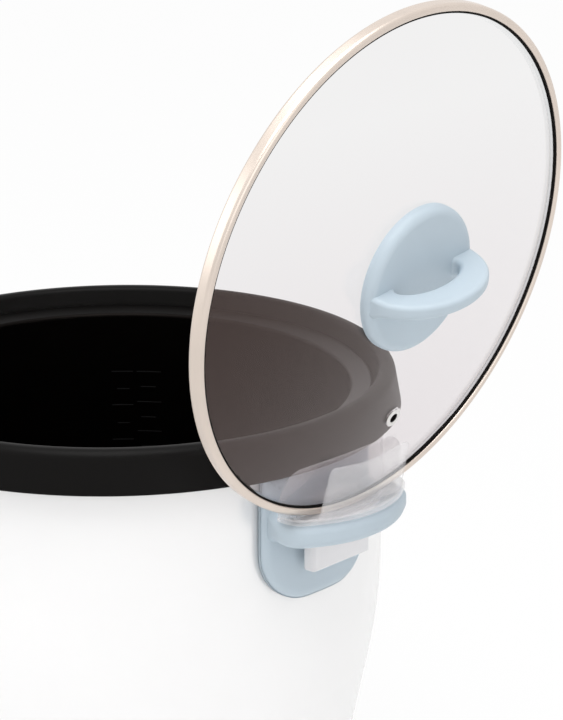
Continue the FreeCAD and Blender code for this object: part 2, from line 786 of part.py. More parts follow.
def magnet_plunger():
    """Magnet on a rod, with a crosshead above the lever's fork and a nut below it."""
    fork_top = PIVOT_Z + LEVER_T / 2
    fork_bottom = PIVOT_Z - LEVER_T / 2
    magnet = Part.makeCylinder(MAGNET_R, MAGNET_TOP_Z - MAGNET_BOTTOM_Z, Vector(0, 0, MAGNET_BOTTOM_Z))
    stem = Part.makeCylinder(STEM_R, MAGNET_BOTTOM_Z - STEM_BOTTOM_Z, Vector(0, 0, STEM_BOTTOM_Z))
    crosshead = Part.makeCylinder(CROSSHEAD_R, CROSSHEAD_T, Vector(0, 0, fork_top + CROSSHEAD_GAP))
    nut = Part.makeCylinder(NUT_R, NUT_T, Vector(0, 0, fork_bottom - NUT_GAP - NUT_T))
    return magnet.fuse([stem, crosshead, nut])


def cook_lever():
    """Pressed strip with a hub on the pivot and a fork round the plunger's rod."""
    right = [
        (LEVER_HALF_W, LEVER_FRONT_Y, LEVER_ROUND),
        (LEVER_HALF_W, PIVOT_Y - 2 * LEVER_HALF_W, 0),
        (LEVER_HUB_HALF_W, PIVOT_Y - LEVER_HALF_W, 0),
        (LEVER_HUB_HALF_W, PIVOT_Y + LEVER_HALF_W, 0),
        (FORK_HALF_W, FORK_ROOT_Y - 2 * LEVER_HALF_W, 0),
        (FORK_HALF_W, FORK_END_Y, FORK_ROUND),
        (FORK_SLOT_HALF_W, FORK_END_Y, FORK_ROUND),
        (FORK_SLOT_HALF_W, FORK_ROOT_Y, FORK_SLOT_ROUND),
    ]
    left = [(-x, y, radius) for x, y, radius in reversed(right)]
    thickness = Vector(0, 0, LEVER_T)
    strip = extruded(right + left, plan(PIVOT_Z - LEVER_T / 2), thickness)
    hub = across_pivot(LEVER_HUB_HALF_W, LEVER_HUB_R)
    bore = across_pivot(2 * LEVER_HUB_HALF_W, PIN_R + PIN_GAP)
    return strip.fuse(hub).cut(bore)


def across_pivot(half_w, radius):
    """Round bar on the lever's pivot axis."""
    return rod(Vector(-half_w, PIVOT_Y, PIVOT_Z), Vector(half_w, PIVOT_Y, PIVOT_Z), radius)


def lever_tab():
    """Moulded finger tab on the front end of the lever, with a socket for the strip."""
    tab = extruded([
        (TAB_FRONT_Y, TAB_BOTTOM_Z, TAB_NOSE_R),
        (TAB_BACK_Y, TAB_BOTTOM_Z, SOFT_EDGE),
        (TAB_BACK_Y, TAB_BACK_TOP_Z, SOFT_EDGE),
        (TAB_FRONT_Y, TAB_FRONT_TOP_Z, TAB_NOSE_R),
    ], facing_x(-TAB_HALF_W), Vector(2 * TAB_HALF_W, 0, 0))
    uprights = [e for e in tab.Edges if e.BoundBox.XLength < FINE_EDGE]
    tab = tab.makeFillet(TAB_EDGE, uprights)
    socket = box(-LEVER_HALF_W, LEVER_HALF_W, LEVER_FRONT_Y, TAB_BACK_Y,
                 PIVOT_Z - LEVER_T / 2, PIVOT_Z + LEVER_T / 2)
    return tab.cut(socket)


def lever_pin():
    """Pivot pin held in the bracket's ears."""
    return across_pivot(PIN_HALF_W, PIN_R)


def lever_bracket():
    """Bent bracket under the liner's floor with two ears for the pin."""
    top = LINER_FLOOR_Z
    outer = EAR_X + EAR_T
    bracket = box(-outer, outer, PIVOT_Y - EAR_TOP_HALF_W, PIVOT_Y + EAR_TOP_HALF_W, top - EAR_T, top)
    ear_outline = [
        (PIVOT_Y - EAR_HALF_W, EAR_BOTTOM_Z, EAR_ROUND),
        (PIVOT_Y + EAR_HALF_W, EAR_BOTTOM_Z, EAR_ROUND),
        (PIVOT_Y + EAR_TOP_HALF_W, top - EAR_T / 2, 0),
        (PIVOT_Y - EAR_TOP_HALF_W, top - EAR_T / 2, 0),
    ]
    ears = [extruded(ear_outline, facing_x(x), Vector(EAR_T, 0, 0)) for x in (-outer, EAR_X)]
    return bracket.fuse(ears).cut(lever_pin())


def micro_switch():
    """Snap switch over the lever's front arm, with its button and two spade terminals."""
    body = box(-SWITCH_HALF_W, SWITCH_HALF_W, SWITCH_FRONT_Y, SWITCH_BACK_Y, SWITCH_BOTTOM_Z, LINER_FLOOR_Z)
    tip = Vector(0, SWITCH_BUTTON_Y, SWITCH_BUTTON_Z)
    button = rod(tip, Vector(0, SWITCH_BUTTON_Y, SWITCH_BOTTOM_Z + FINE_EDGE), SWITCH_BUTTON_R)
    spades = []
    for x in (-SWITCH_HALF_W - SPADE_LENGTH, SWITCH_HALF_W):
        spades.append(box(x, x + SPADE_LENGTH, SWITCH_SPADE_Y - SPADE_HALF_W, SWITCH_SPADE_Y + SPADE_HALF_W,
                          SWITCH_SPADE_Z, SWITCH_SPADE_Z + SPADE_T))
    return body.fuse([button] + spades)


def side_heater():
    """Keep-warm band round the liner."""
    inner = LINER_R + LINER_WALL
    outer = inner + BAND_T
    return turned([
        (inner, BAND_BOTTOM_Z, 0),
        (outer, BAND_BOTTOM_Z, 0),
        (outer, BAND_TOP_Z, 0),
        (inner, BAND_TOP_Z, 0),
    ])


def thermal_fuse():
    """One-shot fuse under the liner's floor, in its clip."""
    centre = Vector(0, FUSE_Y, LINER_FLOOR_Z - FUSE_DROP)
    along = Vector(1, 0, 0)
    barrel = rod(centre - along * FUSE_HALF_W, centre + along * FUSE_HALF_W, FUSE_R)
    leads = rod(centre - along * FUSE_LEAD_HALF_W, centre + along * FUSE_LEAD_HALF_W, FUSE_LEAD_R)
    clip = box(-FUSE_DROP, FUSE_DROP, FUSE_Y - CLIP_HALF_W, FUSE_Y + CLIP_HALF_W, centre.z, LINER_FLOOR_Z)
    return barrel.fuse([leads, clip])


def warm_thermostat():
    """Disc thermostat under the liner's floor, with two spades."""
    bottom = Vector(WARM_X, WARM_Y, WARM_BOTTOM_Z)
    body = rod(bottom, Vector(WARM_X, WARM_Y, LINER_FLOOR_Z), WARM_R)
    spades = []
    for side in (-1, 1):
        x = WARM_X + side * WARM_SPADE_X
        spades.append(box(x - SPADE_HALF_W, x + SPADE_HALF_W, WARM_Y - SPADE_T, WARM_Y,
                          WARM_SPADE_Z, WARM_BOTTOM_Z + FINE_EDGE))
    return body.fuse(spades)


def lever_slot():
    """Opening through panel and barrel in which the lever swings."""
    return extruded([
        (-SLOT_HALF_W, SLOT_BOTTOM_Z, SLOT_ROUND),
        (SLOT_HALF_W, SLOT_BOTTOM_Z, SLOT_ROUND),
        (SLOT_HALF_W, SLOT_TOP_Z, SLOT_ROUND),
        (-SLOT_HALF_W, SLOT_TOP_Z, SLOT_ROUND),
    ], facing_y(-OUTSIDE), Vector(0, OUTSIDE - SHELL_LIP_R, 0))


def panel_screw_axis(side):
    """Seat on the inside of the barrel's taper, and the direction square to it, of a panel screw."""
    angle = 270 + PANEL_SCREW_ANGLE * side
    taper = math.atan2(SHELL_R - SHELL_FOOT_R, SHELL_KNEE_Z - SHELL_BOTTOM_Z)
    wall_r = SHELL_FOOT_R - SHELL_WALL + (PANEL_SCREW_Z - SHELL_BOTTOM_Z) * math.tan(taper)
    along = polar(math.cos(taper), angle, -math.sin(taper))
    return polar(wall_r - FIT, angle, PANEL_SCREW_Z), along


def panel_screw_holes():
    """Holes for the panel's screws through the barrel and into the panel."""
    holes = []
    for side in (-1, 1):
        seat, along = panel_screw_axis(side)
        end = seat + along * (PANEL_SCREW_LENGTH + FIT)
        holes.append(rod(seat - along * SMALL_HEAD_H, end, SMALL_SCREW_HOLE_R))
    return holes


def switch_panel():
    """Moulded panel that follows the barrel, with the lever's slot and lamp holes."""
    band = barrel_solid(PANEL_T).cut(barrel_solid(0))
    outline = extruded([
        (-PANEL_HALF_W, PANEL_BOTTOM_Z, PANEL_LOW_ROUND),
        (PANEL_HALF_W, PANEL_BOTTOM_Z, PANEL_LOW_ROUND),
        (PANEL_HALF_W, PANEL_TOP_Z, PANEL_HIGH_ROUND),
        (-PANEL_HALF_W, PANEL_TOP_Z, PANEL_HIGH_ROUND),
    ], facing_y(-OUTSIDE), Vector(0, OUTSIDE - WEB_INNER_R, 0))
    panel = band.common(outline)
    panel = panel.makeFillet(PANEL_EDGE, outward_edges(panel))
    cuts = [lever_slot()] + panel_screw_holes()
    for x in (-LAMP_X, LAMP_X):
        cuts.append(rod(Vector(x, -OUTSIDE, LAMP_Z), Vector(x, -SHELL_FOOT_R, LAMP_Z), LAMP_R))
    return panel.cut(Part.makeCompound(cuts))


def outward_edges(plate):
    """Edges round the outer face of a plate that follows the barrel."""
    faces = sorted(plate.Faces, key=lambda face: face.Area)[-2:]
    outer = max(faces, key=lambda face: math.hypot(face.CenterOfMass.x, face.CenterOfMass.y))
    return outer.Edges


def panel_screws():
    """Screws from inside the barrel into the panel."""
    screws = []
    for side in (-1, 1):
        seat, along = panel_screw_axis(side)
        head = rod(seat - along * SMALL_HEAD_H, seat, SMALL_HEAD_R)
        screws.append(head.fuse(rod(seat, seat + along * PANEL_SCREW_LENGTH, SMALL_SCREW_R)))
    return Part.makeCompound(screws)


def lamp_lenses():
    """Two domed lamp windows in the panel."""
    lenses = []
    for x in (-LAMP_X, LAMP_X):
        radius = LAMP_R - PIN_GAP
        lens = turned([
            (0, 0, 0),
            (radius, 0, 0),
            (radius, LAMP_LENGTH - LAMP_BEVEL, 0),
            (radius - LAMP_BEVEL, LAMP_LENGTH, 0),
            (0, LAMP_LENGTH, 0),
        ])
        lens.rotate(Vector(), Vector(1, 0, 0), 90)
        lens.translate(Vector(x, LAMP_BACK_Y, LAMP_Z))
        lenses.append(lens)
    return Part.makeCompound(lenses)


def lamp_bulbs():
    """Two small tube lamps behind the windows."""
    bulbs = []
    for x in (-LAMP_X, LAMP_X):
        end = Vector(x, LAMP_BACK_Y, LAMP_Z)
        bulbs.append(rod(end, end + Vector(0, BULB_LENGTH, 0), BULB_R))
    return Part.makeCompound(bulbs)


def inlet_screw_holes():
    """Holes for the two screws of the inlet's flange."""
    holes = []
    for x in (-INLET_SCREW_X, INLET_SCREW_X):
        start = Vector(x, INLET_SCREW_BACK_Y - FINE_EDGE, INLET_Z)
        holes.append(rod(start, Vector(x, OUTSIDE, INLET_Z), SMALL_SCREW_HOLE_R))
    return holes


def power_inlet():
    """Socket body through the barrel with a flange that sits on it."""
    low = INLET_Z - INLET_FLANGE_HALF_H
    high = INLET_Z + INLET_FLANGE_HALF_H
    flange = extruded([
        (-INLET_FLANGE_HALF_W, low, INLET_CORNER_R),
        (INLET_FLANGE_HALF_W, low, INLET_CORNER_R),
        (INLET_FLANGE_HALF_W, high, INLET_CORNER_R),
        (-INLET_FLANGE_HALF_W, high, INLET_CORNER_R),
    ], facing_y(INLET_BACK_Y), Vector(0, INLET_FACE_Y - INLET_BACK_Y, 0))
    flange = flange.cut(barrel_solid(0))
    body = box(-INLET_HALF_W, INLET_HALF_W, INLET_BACK_Y, INLET_FACE_Y,
               INLET_Z - INLET_HALF_H, INLET_Z + INLET_HALF_H)
    socket = extruded([
        (-SOCKET_HALF_W, INLET_Z - SOCKET_HALF_H, SOCKET_LOW_ROUND),
        (SOCKET_HALF_W, INLET_Z - SOCKET_HALF_H, SOCKET_LOW_ROUND),
        (SOCKET_HALF_W, INLET_Z + SOCKET_HALF_H, INLET_CORNER_R),
        (-SOCKET_HALF_W, INLET_Z + SOCKET_HALF_H, INLET_CORNER_R),
    ], facing_y(INLET_BACK_Y + INLET_FLOOR), Vector(0, OUTSIDE - INLET_BACK_Y, 0))
    cuts = [socket] + inlet_screw_holes()
    for x, z in INLET_PINS:
        cuts.append(rod(Vector(x, INLET_BACK_Y, z), Vector(x, INLET_BACK_Y + INLET_FLOOR, z), INLET_PIN_R))
    return flange.fuse(body).cut(Part.makeCompound(cuts))


def inlet_pins():
    """Three contact pins with chamfered tips."""
    pins = []
    for x, z in INLET_PINS:
        tail = Vector(x, INLET_BACK_Y - INLET_PIN_TAIL, z)
        pin = rod(tail, Vector(x, INLET_FACE_Y - INLET_PIN_SET_BACK, z), INLET_PIN_R)
        tip = max(pin.Edges, key=lambda edge: edge.CenterOfMass.y)
        pins.append(pin.makeChamfer(INLET_PIN_BEVEL, [tip]))
    return Part.makeCompound(pins)


def inlet_screws():
    """Screws of the inlet's flange."""
    screws = []
    for x in (-INLET_SCREW_X, INLET_SCREW_X):
        seat = Vector(x, INLET_FACE_Y, INLET_Z)
        head = rod(seat, seat + Vector(0, INLET_HEAD_H, 0), SMALL_HEAD_R)
        shank = rod(Vector(x, INLET_SCREW_BACK_Y, INLET_Z), seat, SMALL_SCREW_R)
        screws.append(head.fuse(shank))
    return Part.makeCompound(screws)


def loop_outline(inset):
    """Corners of the loop's D, narrow at its roots, with every side drawn in by an inset."""
    corners = [
        (LOOP_ROOT_X, LOOP_ROOT_HALF_W, LOOP_ROOT_R + inset),
        (LOOP_SHOULDER_X, LOOP_SHOULDER_HALF_W, max(LOOP_SHOULDER_R - inset, FINE_EDGE)),
        (LOOP_NOSE_X, 0, LOOP_NOSE_R - inset),
    ]
    line = [Vector(LOOP_BACK_X, LOOP_ROOT_HALF_W, 0)]
    line += [Vector(x, half, 0) for x, half, radius in corners]
    line.append(Vector(LOOP_SHOULDER_X, -LOOP_SHOULDER_HALF_W, 0))
    drawn = [(LOOP_BACK_X, LOOP_ROOT_HALF_W - inset, 0)]
    for i, (x, half, radius) in enumerate(corners):
        before = (line[i + 1] - line[i]).normalize()
        after = (line[i + 2] - line[i + 1]).normalize()
        inward = (before + after).cross(AXIS_Z) * (inset / (1 + before.dot(after)))
        drawn.append((x + inward.x, half + inward.y, radius))
    mirrored = [(x, -half, radius) for x, half, radius in reversed(drawn[:-1])]
    return drawn + mirrored


def loop_slab(inset, back_x, bottom, top):
    """Level slab of the loop's outline, drawn in by an inset, in front of a back line."""
    slab = extruded(loop_outline(inset), plan(bottom), Vector(0, 0, top - bottom))
    return slab.common(box(back_x, LOOP_NOSE_X, -LOOP_NOSE_R, LOOP_NOSE_R, bottom, top))


def handle_screw_axis(angle):
    """Start and direction of a handle screw, square to the barrel."""
    return polar(HANDLE_SCREW_START_R, angle, HANDLE_SCREW_Z), polar(1, angle, 0)


def handle_screw_angles():
    """Angles of the four handle screws, two on each side."""
    return [side + turn for side in (0, 180) for turn in (-HANDLE_SCREW_ANGLE, HANDLE_SCREW_ANGLE)]


def handle_screw_holes():
    """Holes for the handle screws through the barrel and into the loop's roots."""
    holes = []
    for angle in handle_screw_angles():
        start, along = handle_screw_axis(angle)
        holes.append(rod(start, start + along * (HANDLE_SCREW_LENGTH + FINE_EDGE), HANDLE_SCREW_HOLE_R))
    return holes


def handle_screws():
    """Pan-head screws from inside the barrel."""
    screws = []
    for angle in handle_screw_angles():
        start, along = handle_screw_axis(angle)
        seat = start + along * HANDLE_HEAD_H
        shank = rod(seat, start + along * HANDLE_SCREW_LENGTH, HANDLE_SCREW_R)
        screws.append(rod(start, seat, HANDLE_HEAD_R).fuse(shank))
    return Part.makeCompound(screws)


def handle_right():
    """Base plate on the barrel with a rounded D loop for the hand and the cup."""
    band = barrel_solid(HANDLE_PLATE_T).cut(barrel_solid(0))
    outline = extruded([
        (-HANDLE_HALF_W, HANDLE_BOTTOM_Z, HANDLE_CORNER_R),
        (HANDLE_HALF_W, HANDLE_BOTTOM_Z, HANDLE_CORNER_R),
        (HANDLE_HALF_W, HANDLE_TOP_Z, HANDLE_TOP_CORNER_R),
        (-HANDLE_HALF_W, HANDLE_TOP_Z, HANDLE_TOP_CORNER_R),
    ], facing_x(SHELL_LIP_R), Vector(OUTSIDE - SHELL_LIP_R, 0, 0))
    plate = band.common(outline)
    plate = plate.makeFillet(HANDLE_EDGE, outward_edges(plate))
    loop = loop_slab(0, LOOP_BACK_X, LOOP_BOTTOM_Z, LOOP_TOP_Z)
    loop = loop.cut(loop_slab(LOOP_BAR, LOOP_BACK_X, LOOP_BOTTOM_Z, LOOP_TOP_Z))
    level = [e for e in loop.Edges if e.BoundBox.ZLength < FINE_EDGE and e.BoundBox.XMax > LOOP_BACK_X + FIT]
    loop = loop.makeFillet(LOOP_EDGE_R, level).cut(barrel_solid(0))
    return plate.fuse(loop).cut(Part.makeCompound(handle_screw_holes()))


def handle_left():
    """The same moulding on the other side."""
    return ring_of(handle_right(), [180])[0]


def leaning_panel(foot_half_w, half_w, foot_x, top_x, top_z, corner_r, dip):
    """Clear upright wall that leans outwards from the tray, with rounded corners and a dip on top."""
    foot_z = TRAY_BOTTOM_Z + CUP_WALL / 2
    panel = extruded([
        (-foot_half_w, foot_z, 0),
        (foot_half_w, foot_z, 0),
        (half_w, top_z, corner_r),
        (0, top_z - dip, REST_SWEEP_R),
        (-half_w, top_z, corner_r),
    ], facing_x(foot_x), Vector(LID_R, 0, 0))
    slab = extruded([
        (foot_x, foot_z, 0),
        (foot_x + CUP_WALL, foot_z, 0),
        (top_x + CUP_WALL, top_z, SOFT_EDGE),
        (top_x, top_z, SOFT_EDGE),
    ], facing_y(-LID_R), Vector(0, 2 * LID_R, 0))
    return slab.common(panel)


def drip_cup():
    """Clear cup: tray on the loop, tub sunk in its opening, reservoir below, and two rests for the lid."""
    floor = TUB_BOTTOM_Z + CUP_WALL
    tray_top = TRAY_BOTTOM_Z + CUP_WALL
    tub_inset = LOOP_BAR + TUB_GAP
    tray = loop_slab(TRAY_INSET, TRAY_BACK_X, TRAY_BOTTOM_Z, LIP_TOP_Z)
    tray = tray.cut(loop_slab(TRAY_INSET + CUP_WALL, LOOP_BACK_X, tray_top, LIP_TOP_Z))
    tub = loop_slab(tub_inset, TUB_BACK_X, TUB_BOTTOM_Z, tray_top)
    reservoir = reservoir_block(0, CUP_BOTTOM_Z, tray_top)
    lean = (BACK_REST_TOP_Z - TRAY_BOTTOM_Z - CUP_WALL / 2) * math.tan(math.radians(LID_LEAN))
    back_rest = leaning_panel(
        BACK_REST_FOOT_HALF_W, BACK_REST_HALF_W, BACK_REST_X, BACK_REST_X + lean,
        BACK_REST_TOP_Z, BACK_REST_CORNER_R, BACK_REST_DIP)
    front_rest = leaning_panel(
        FRONT_REST_FOOT_HALF_W, FRONT_REST_HALF_W, FRONT_REST_X, FRONT_REST_TOP_X,
        FRONT_REST_TOP_Z, FRONT_REST_CORNER_R, FRONT_REST_DIP)
    cup = tray.fuse([tub, reservoir, back_rest, front_rest])
    sunk = loop_slab(tub_inset + CUP_WALL, TUB_BACK_X + CUP_WALL, floor, tray_top)
    ledge = loop_slab(tub_inset + CUP_WALL - TUB_LEDGE, TUB_BACK_X + CUP_WALL, tray_top - TUB_LEDGE, tray_top)
    hollow = reservoir_block(RESERVOIR_WALL, CUP_BOTTOM_Z + RESERVOIR_WALL, floor)
    return cup.cut(Part.makeCompound([sunk.fuse(ledge), hollow]))


def reservoir_block(inset, bottom, top):
    """Upright block of the reservoir's outline, drawn in by an inset."""
    half_w = CUP_HALF_W - inset
    corner = RESERVOIR_ROUND - inset
    return extruded([
        (CUP_BACK_X + inset, -half_w, corner),
        (CUP_FRONT_X - inset, -half_w, corner),
        (CUP_FRONT_X - inset, half_w, corner),
        (CUP_BACK_X + inset, half_w, corner),
    ], plan(bottom), Vector(0, 0, top - bottom))


def stand_lid(shape):
    """Turns a lid piece in its own plane and stands it, leaning outwards, in the holder."""
    shape.rotate(Vector(), AXIS_Z, LID_TURN)
    lean = math.radians(LID_LEAN)
    pose = FreeCAD.Matrix(
        0, math.sin(lean), math.cos(lean), LID_CENTRE_X,
        1, 0, 0, 0,
        0, math.cos(lean), -math.sin(lean), LID_CENTRE_Z,
        0, 0, 0, 1)
    shape.Placement = FreeCAD.Placement(pose).multiply(shape.Placement)
    return shape


def glass_sphere(offset):
    """Ball whose cap is the outer face of the glass, grown by an offset."""
    return Part.makeSphere(LID_SPHERE_R + offset, LID_SPHERE_CENTRE)


def glass_height(radius):
    """Height of the glass's outer face above the rim plane."""
    return LID_SPHERE_CENTRE.z + math.sqrt(LID_SPHERE_R ** 2 - radius ** 2)


def at_vent(shape):
    """Carries a piece built on the Z axis, where zero is the glass's face, square to the glass at the vent."""
    shape.translate(AXIS_Z * LID_SPHERE_R)
    shape.rotate(Vector(), Vector(1, 0, 0), math.degrees(math.asin(VENT_R / LID_SPHERE_R)))
    shape.translate(LID_SPHERE_CENTRE)
    return shape


def lid_glass():
    """Domed glass with a hole for the knob's screw and one for the vent."""
    dome = glass_sphere(0).cut(glass_sphere(-LID_GLASS_T))
    dome = dome.common(Part.makeCylinder(LID_GLASS_R, 2 * LID_RISE, Vector(0, 0, -LID_RISE)))
    knob_hole = rod(Vector(), AXIS_Z * LID_RISE, KNOB_HOLE_R)
    vent_hole = at_vent(rod(AXIS_Z * -LID_RISE, AXIS_Z * LID_RISE, VENT_TUBE_R + FIT / 2))
    return stand_lid(dome.cut(Part.makeCompound([knob_hole, vent_hole])))


def lid_rim():
    """Steel channel round the glass's edge, rolled into a half-round bead at the front."""
    return stand_lid(turned([
        (RIM_LIP_R, RIM_LIP_Z, FIT),
        (RIM_LIP_R, RIM_TOP_Z, RIM_LIP_ROUND),
        (LID_R, RIM_TOP_Z, RIM_BEAD_ROUND),
        (LID_R, RIM_BOTTOM_Z, RIM_LOW_ROUND),
        (RIM_FLANGE_R, RIM_BOTTOM_Z, FIT),
        (RIM_FLANGE_R, RIM_BOTTOM_Z + RIM_T, FIT),
        (LID_R - RIM_T, RIM_BOTTOM_Z + RIM_T, RIM_LOW_ROUND - RIM_T),
        (LID_R - RIM_T, RIM_TOP_Z - RIM_T, RIM_BEAD_ROUND - RIM_T),
        (RIM_LIP_R + RIM_T, RIM_TOP_Z - RIM_T, RIM_LIP_ROUND - RIM_T),
        (RIM_LIP_R + RIM_T, RIM_LIP_Z, FIT),
    ]))


def lid_seal():
    """Dark gasket between the glass's edge and the rolled rim."""
    wall_r = LID_R - RIM_T - FIT
    return stand_lid(turned([
        (SEAL_LIP_R, glass_height(SEAL_LIP_R) + FIT / 2, 0),
        (SEAL_LIP_R, SEAL_TOP_Z, FIT),
        (wall_r, SEAL_TOP_Z, FIT),
        (wall_r, LID_GLASS_EDGE_Z + FIT / 2, 0),
    ]))


def lid_knob():
    """Round plate that seats on the dome, with a crescent loop for the fingers standing on it."""
    disc = turned([
        (0, KNOB_UNDER, 0),
        (KNOB_R, KNOB_UNDER, 0),
        (KNOB_R, KNOB_FACE, KNOB_EDGE_R),
        (0, KNOB_FACE, 0),
    ])
    root = KNOB_FACE - KNOB_ROOT
    edges = [half_ellipse(KNOB_LOOP_HALF_W, KNOB_LOOP_RISE), half_ellipse(KNOB_GAP_HALF_W, KNOB_GAP_RISE)]
    for side in (-1, 1):
        inner, outer = side * KNOB_GAP_HALF_W, side * KNOB_LOOP_HALF_W
        edges.append(Part.makeLine(section(inner, KNOB_FACE), section(inner, root)))
        edges.append(Part.makeLine(section(inner, root), section(outer, root)))
        edges.append(Part.makeLine(section(outer, root), section(outer, KNOB_FACE)))
    profile = Part.Face(Part.Wire(Part.__sortEdges__(edges)))
    profile.translate(Vector(0, -KNOB_HALF_T, 0))
    loop = profile.extrude(Vector(0, 2 * KNOB_HALF_T, 0))
    for lower, radius in ((True, KNOB_SOFT_R), (False, KNOB_CRISP_R)):
        curved = [e for e in loop.Edges if is_arch(e) and (e.CenterOfMass.y < 0) == lower]
        loop = loop.makeFillet(radius, curved)
    knob = disc.fuse(loop).cut(glass_sphere(FIT / 2))
    bore = rod(Vector(0, 0, KNOB_UNDER), Vector(0, 0, KNOB_SCREW_TIP + FIT), KNOB_BORE_R)
    return stand_lid(knob.cut(bore))


def is_arch(edge):
    """True for an edge that runs over the top of the knob's loop."""
    return edge.BoundBox.YLength < FINE_EDGE and edge.BoundBox.XLength > KNOB_GAP_HALF_W


def half_ellipse(half_w, rise):
    """Arch over the knob's face."""
    centre = section(0, KNOB_FACE)
    ellipse = Part.Ellipse(section(half_w, KNOB_FACE), section(0, KNOB_FACE + rise), centre)
    return Part.ArcOfEllipse(ellipse, 0, math.pi).toShape()


def knob_washer():
    """Soft washer between the screw's head and the glass."""
    bottom = Vector(0, 0, WASHER_TOP - WASHER_T)
    disc = Part.makeCylinder(WASHER_R, WASHER_T, bottom)
    return stand_lid(disc.cut(Part.makeCylinder(WASHER_BORE_R, WASHER_T, bottom)))


def knob_screw():
    """Screw from inside the lid into the knob."""
    seat = WASHER_TOP - WASHER_T
    shank = Part.makeCylinder(KNOB_SCREW_R, KNOB_SCREW_TIP - seat, Vector(0, 0, seat))
    return stand_lid(pan_head(seat, KNOB_HEAD_R, KNOB_HEAD_H).fuse(shank))


def vent_grommet():
    """Eyelet of the steam vent: a thin flange on the glass and a short tube through it."""
    foot = AXIS_Z * -VENT_TUBE_DEPTH
    flange = Part.makeCylinder(VENT_FLANGE_R, VENT_TUBE_DEPTH + VENT_FLANGE_T, foot)
    edge = max(flange.Edges, key=lambda e: e.CenterOfMass.z)
    flange = at_vent(flange.makeFillet(VENT_FLANGE_EDGE, [edge])).cut(glass_sphere(FIT / 4))
    tube = at_vent(Part.makeCylinder(VENT_TUBE_R, VENT_TUBE_DEPTH + VENT_FLANGE_T / 2, foot))
    bore = at_vent(rod(foot * 2, foot * -2, VENT_BORE_R))
    return stand_lid(flange.fuse(tube).cut(bore))


def wire_run(points):
    """Insulated lead along straight runs joined by tangent arcs as large as the runs allow."""
    edges = []
    last = points[0]
    for before, corner, after in zip(points, points[1:], points[2:]):
        back = (before - corner).normalize()
        ahead = (after - corner).normalize()
        half = back.getAngle(ahead) / 2
        reach = LEAD_BEND_SHARE * min(before.distanceToPoint(corner), after.distanceToPoint(corner))
        bend = reach * math.tan(half)
        middle = corner + (back + ahead).normalize() * (bend / math.sin(half) - bend)
        edges.append(Part.makeLine(last, corner + back * reach))
        edges.append(Part.Arc(corner + back * reach, middle, corner + ahead * reach).toShape())
        last = corner + ahead * reach
    edges.append(Part.makeLine(last, points[-1]))
    ring = wire_section(points[0], points[1] - points[0], LEAD_R)
    return Part.Wire(edges).makePipeShell([ring], True, False)


def wiring():
    """Leads from the inlet to the heater, and from the switch to the thermostat."""
    runs = []
    for side, angle in ((1, TERMINAL_ANGLES[0]), (-1, TERMINAL_ANGLES[1])):
        end = polar(ELEMENT_R, angle, TERMINAL_BOTTOM_Z)
        points = [Vector(x * side, y, z) for x, y, z in INLET_LEAD_ROUTE]
        runs.append(wire_run(points + [Vector(end.x, end.y, LEAD_LOW_Z), end]))
    runs.append(wire_run([Vector(*point) for point in SWITCH_LEAD_ROUTE]))
    return Part.makeCompound(runs)


PIECES = (
    outer_shell, top_collar, inner_chamber, base_ring, bottom_cover, bottom_screws, rubber_feet,
    heating_plate, heater_terminals, plate_posts, plate_screws,
    sensor_cap, sensor_ferrite, sensor_sleeve, sensor_spring, magnet_plunger,
    cook_lever, lever_tab, lever_pin, lever_bracket, micro_switch,
    side_heater, thermal_fuse, warm_thermostat, wiring,
    switch_panel, panel_screws, lamp_lenses, lamp_bulbs,
    power_inlet, inlet_pins, inlet_screws,
    handle_right, handle_left, handle_screws, drip_cup, inner_pot,
    lid_glass, lid_rim, lid_seal, lid_knob, knob_screw, knob_washer, vent_grommet,
)


def main():
    """Builds every piece and writes one STEP file for each."""
    os.makedirs("parts", exist_ok=True)
    for make in PIECES:
        shape = make()
        print(make.__name__, len(shape.Solids), "solids", shape.isValid(), round(shape.Volume))
        shape.exportStep(os.path.join("parts", make.__name__ + ".step"))


main()
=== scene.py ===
import math

import bmesh
import bpy
import numpy as np
from bpy.props import FloatProperty, FloatVectorProperty, PointerProperty
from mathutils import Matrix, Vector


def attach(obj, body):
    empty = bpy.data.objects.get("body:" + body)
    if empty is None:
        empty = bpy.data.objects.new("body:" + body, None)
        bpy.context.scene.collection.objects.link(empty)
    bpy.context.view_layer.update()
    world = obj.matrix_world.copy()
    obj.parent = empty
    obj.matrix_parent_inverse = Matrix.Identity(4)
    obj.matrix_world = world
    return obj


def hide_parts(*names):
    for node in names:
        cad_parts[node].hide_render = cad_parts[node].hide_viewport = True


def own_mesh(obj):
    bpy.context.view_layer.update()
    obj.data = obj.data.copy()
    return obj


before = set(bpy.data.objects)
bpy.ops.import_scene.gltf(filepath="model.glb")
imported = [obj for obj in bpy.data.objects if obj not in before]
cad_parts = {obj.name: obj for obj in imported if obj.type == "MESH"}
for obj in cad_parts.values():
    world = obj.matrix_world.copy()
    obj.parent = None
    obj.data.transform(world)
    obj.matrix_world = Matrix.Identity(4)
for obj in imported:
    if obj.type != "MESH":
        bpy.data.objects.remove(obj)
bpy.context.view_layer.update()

bl_info = {
    "name": "Drum rice cooker",
    "version": (1, 0, 0),
    "blender": (4, 5, 0),
    "location": "View3D > Sidebar > Cooker",
    "description": "Dresses a drum rice cooker whose glass lid stands in a clear holder on the handle",
    "category": "Object",
}

MM = 0.001

# Columns of surfaces that are turned about an axis
TURNS = 256
LID_TURNS = 320
KNOB_TURNS = 192
VENT_TURNS = 64

# Points closer than a seam become one, and edges shorter than a sliver go, in metres
SEAM = 1e-6
SLIVER = 1e-7

# Plan of a handle's loop: x, y and rounding of each corner, in millimetres
LOOP_PLAN = (
    (121, -35.6, 0),
    (134.5, -35.6, 4),
    (155, -44.7, 13),
    (182.2, 0, 56.3),
    (155, 44.7, 13),
    (134.5, 35.6, 4),
    (121, 35.6, 0),
)
LOOP_POINTS = 401

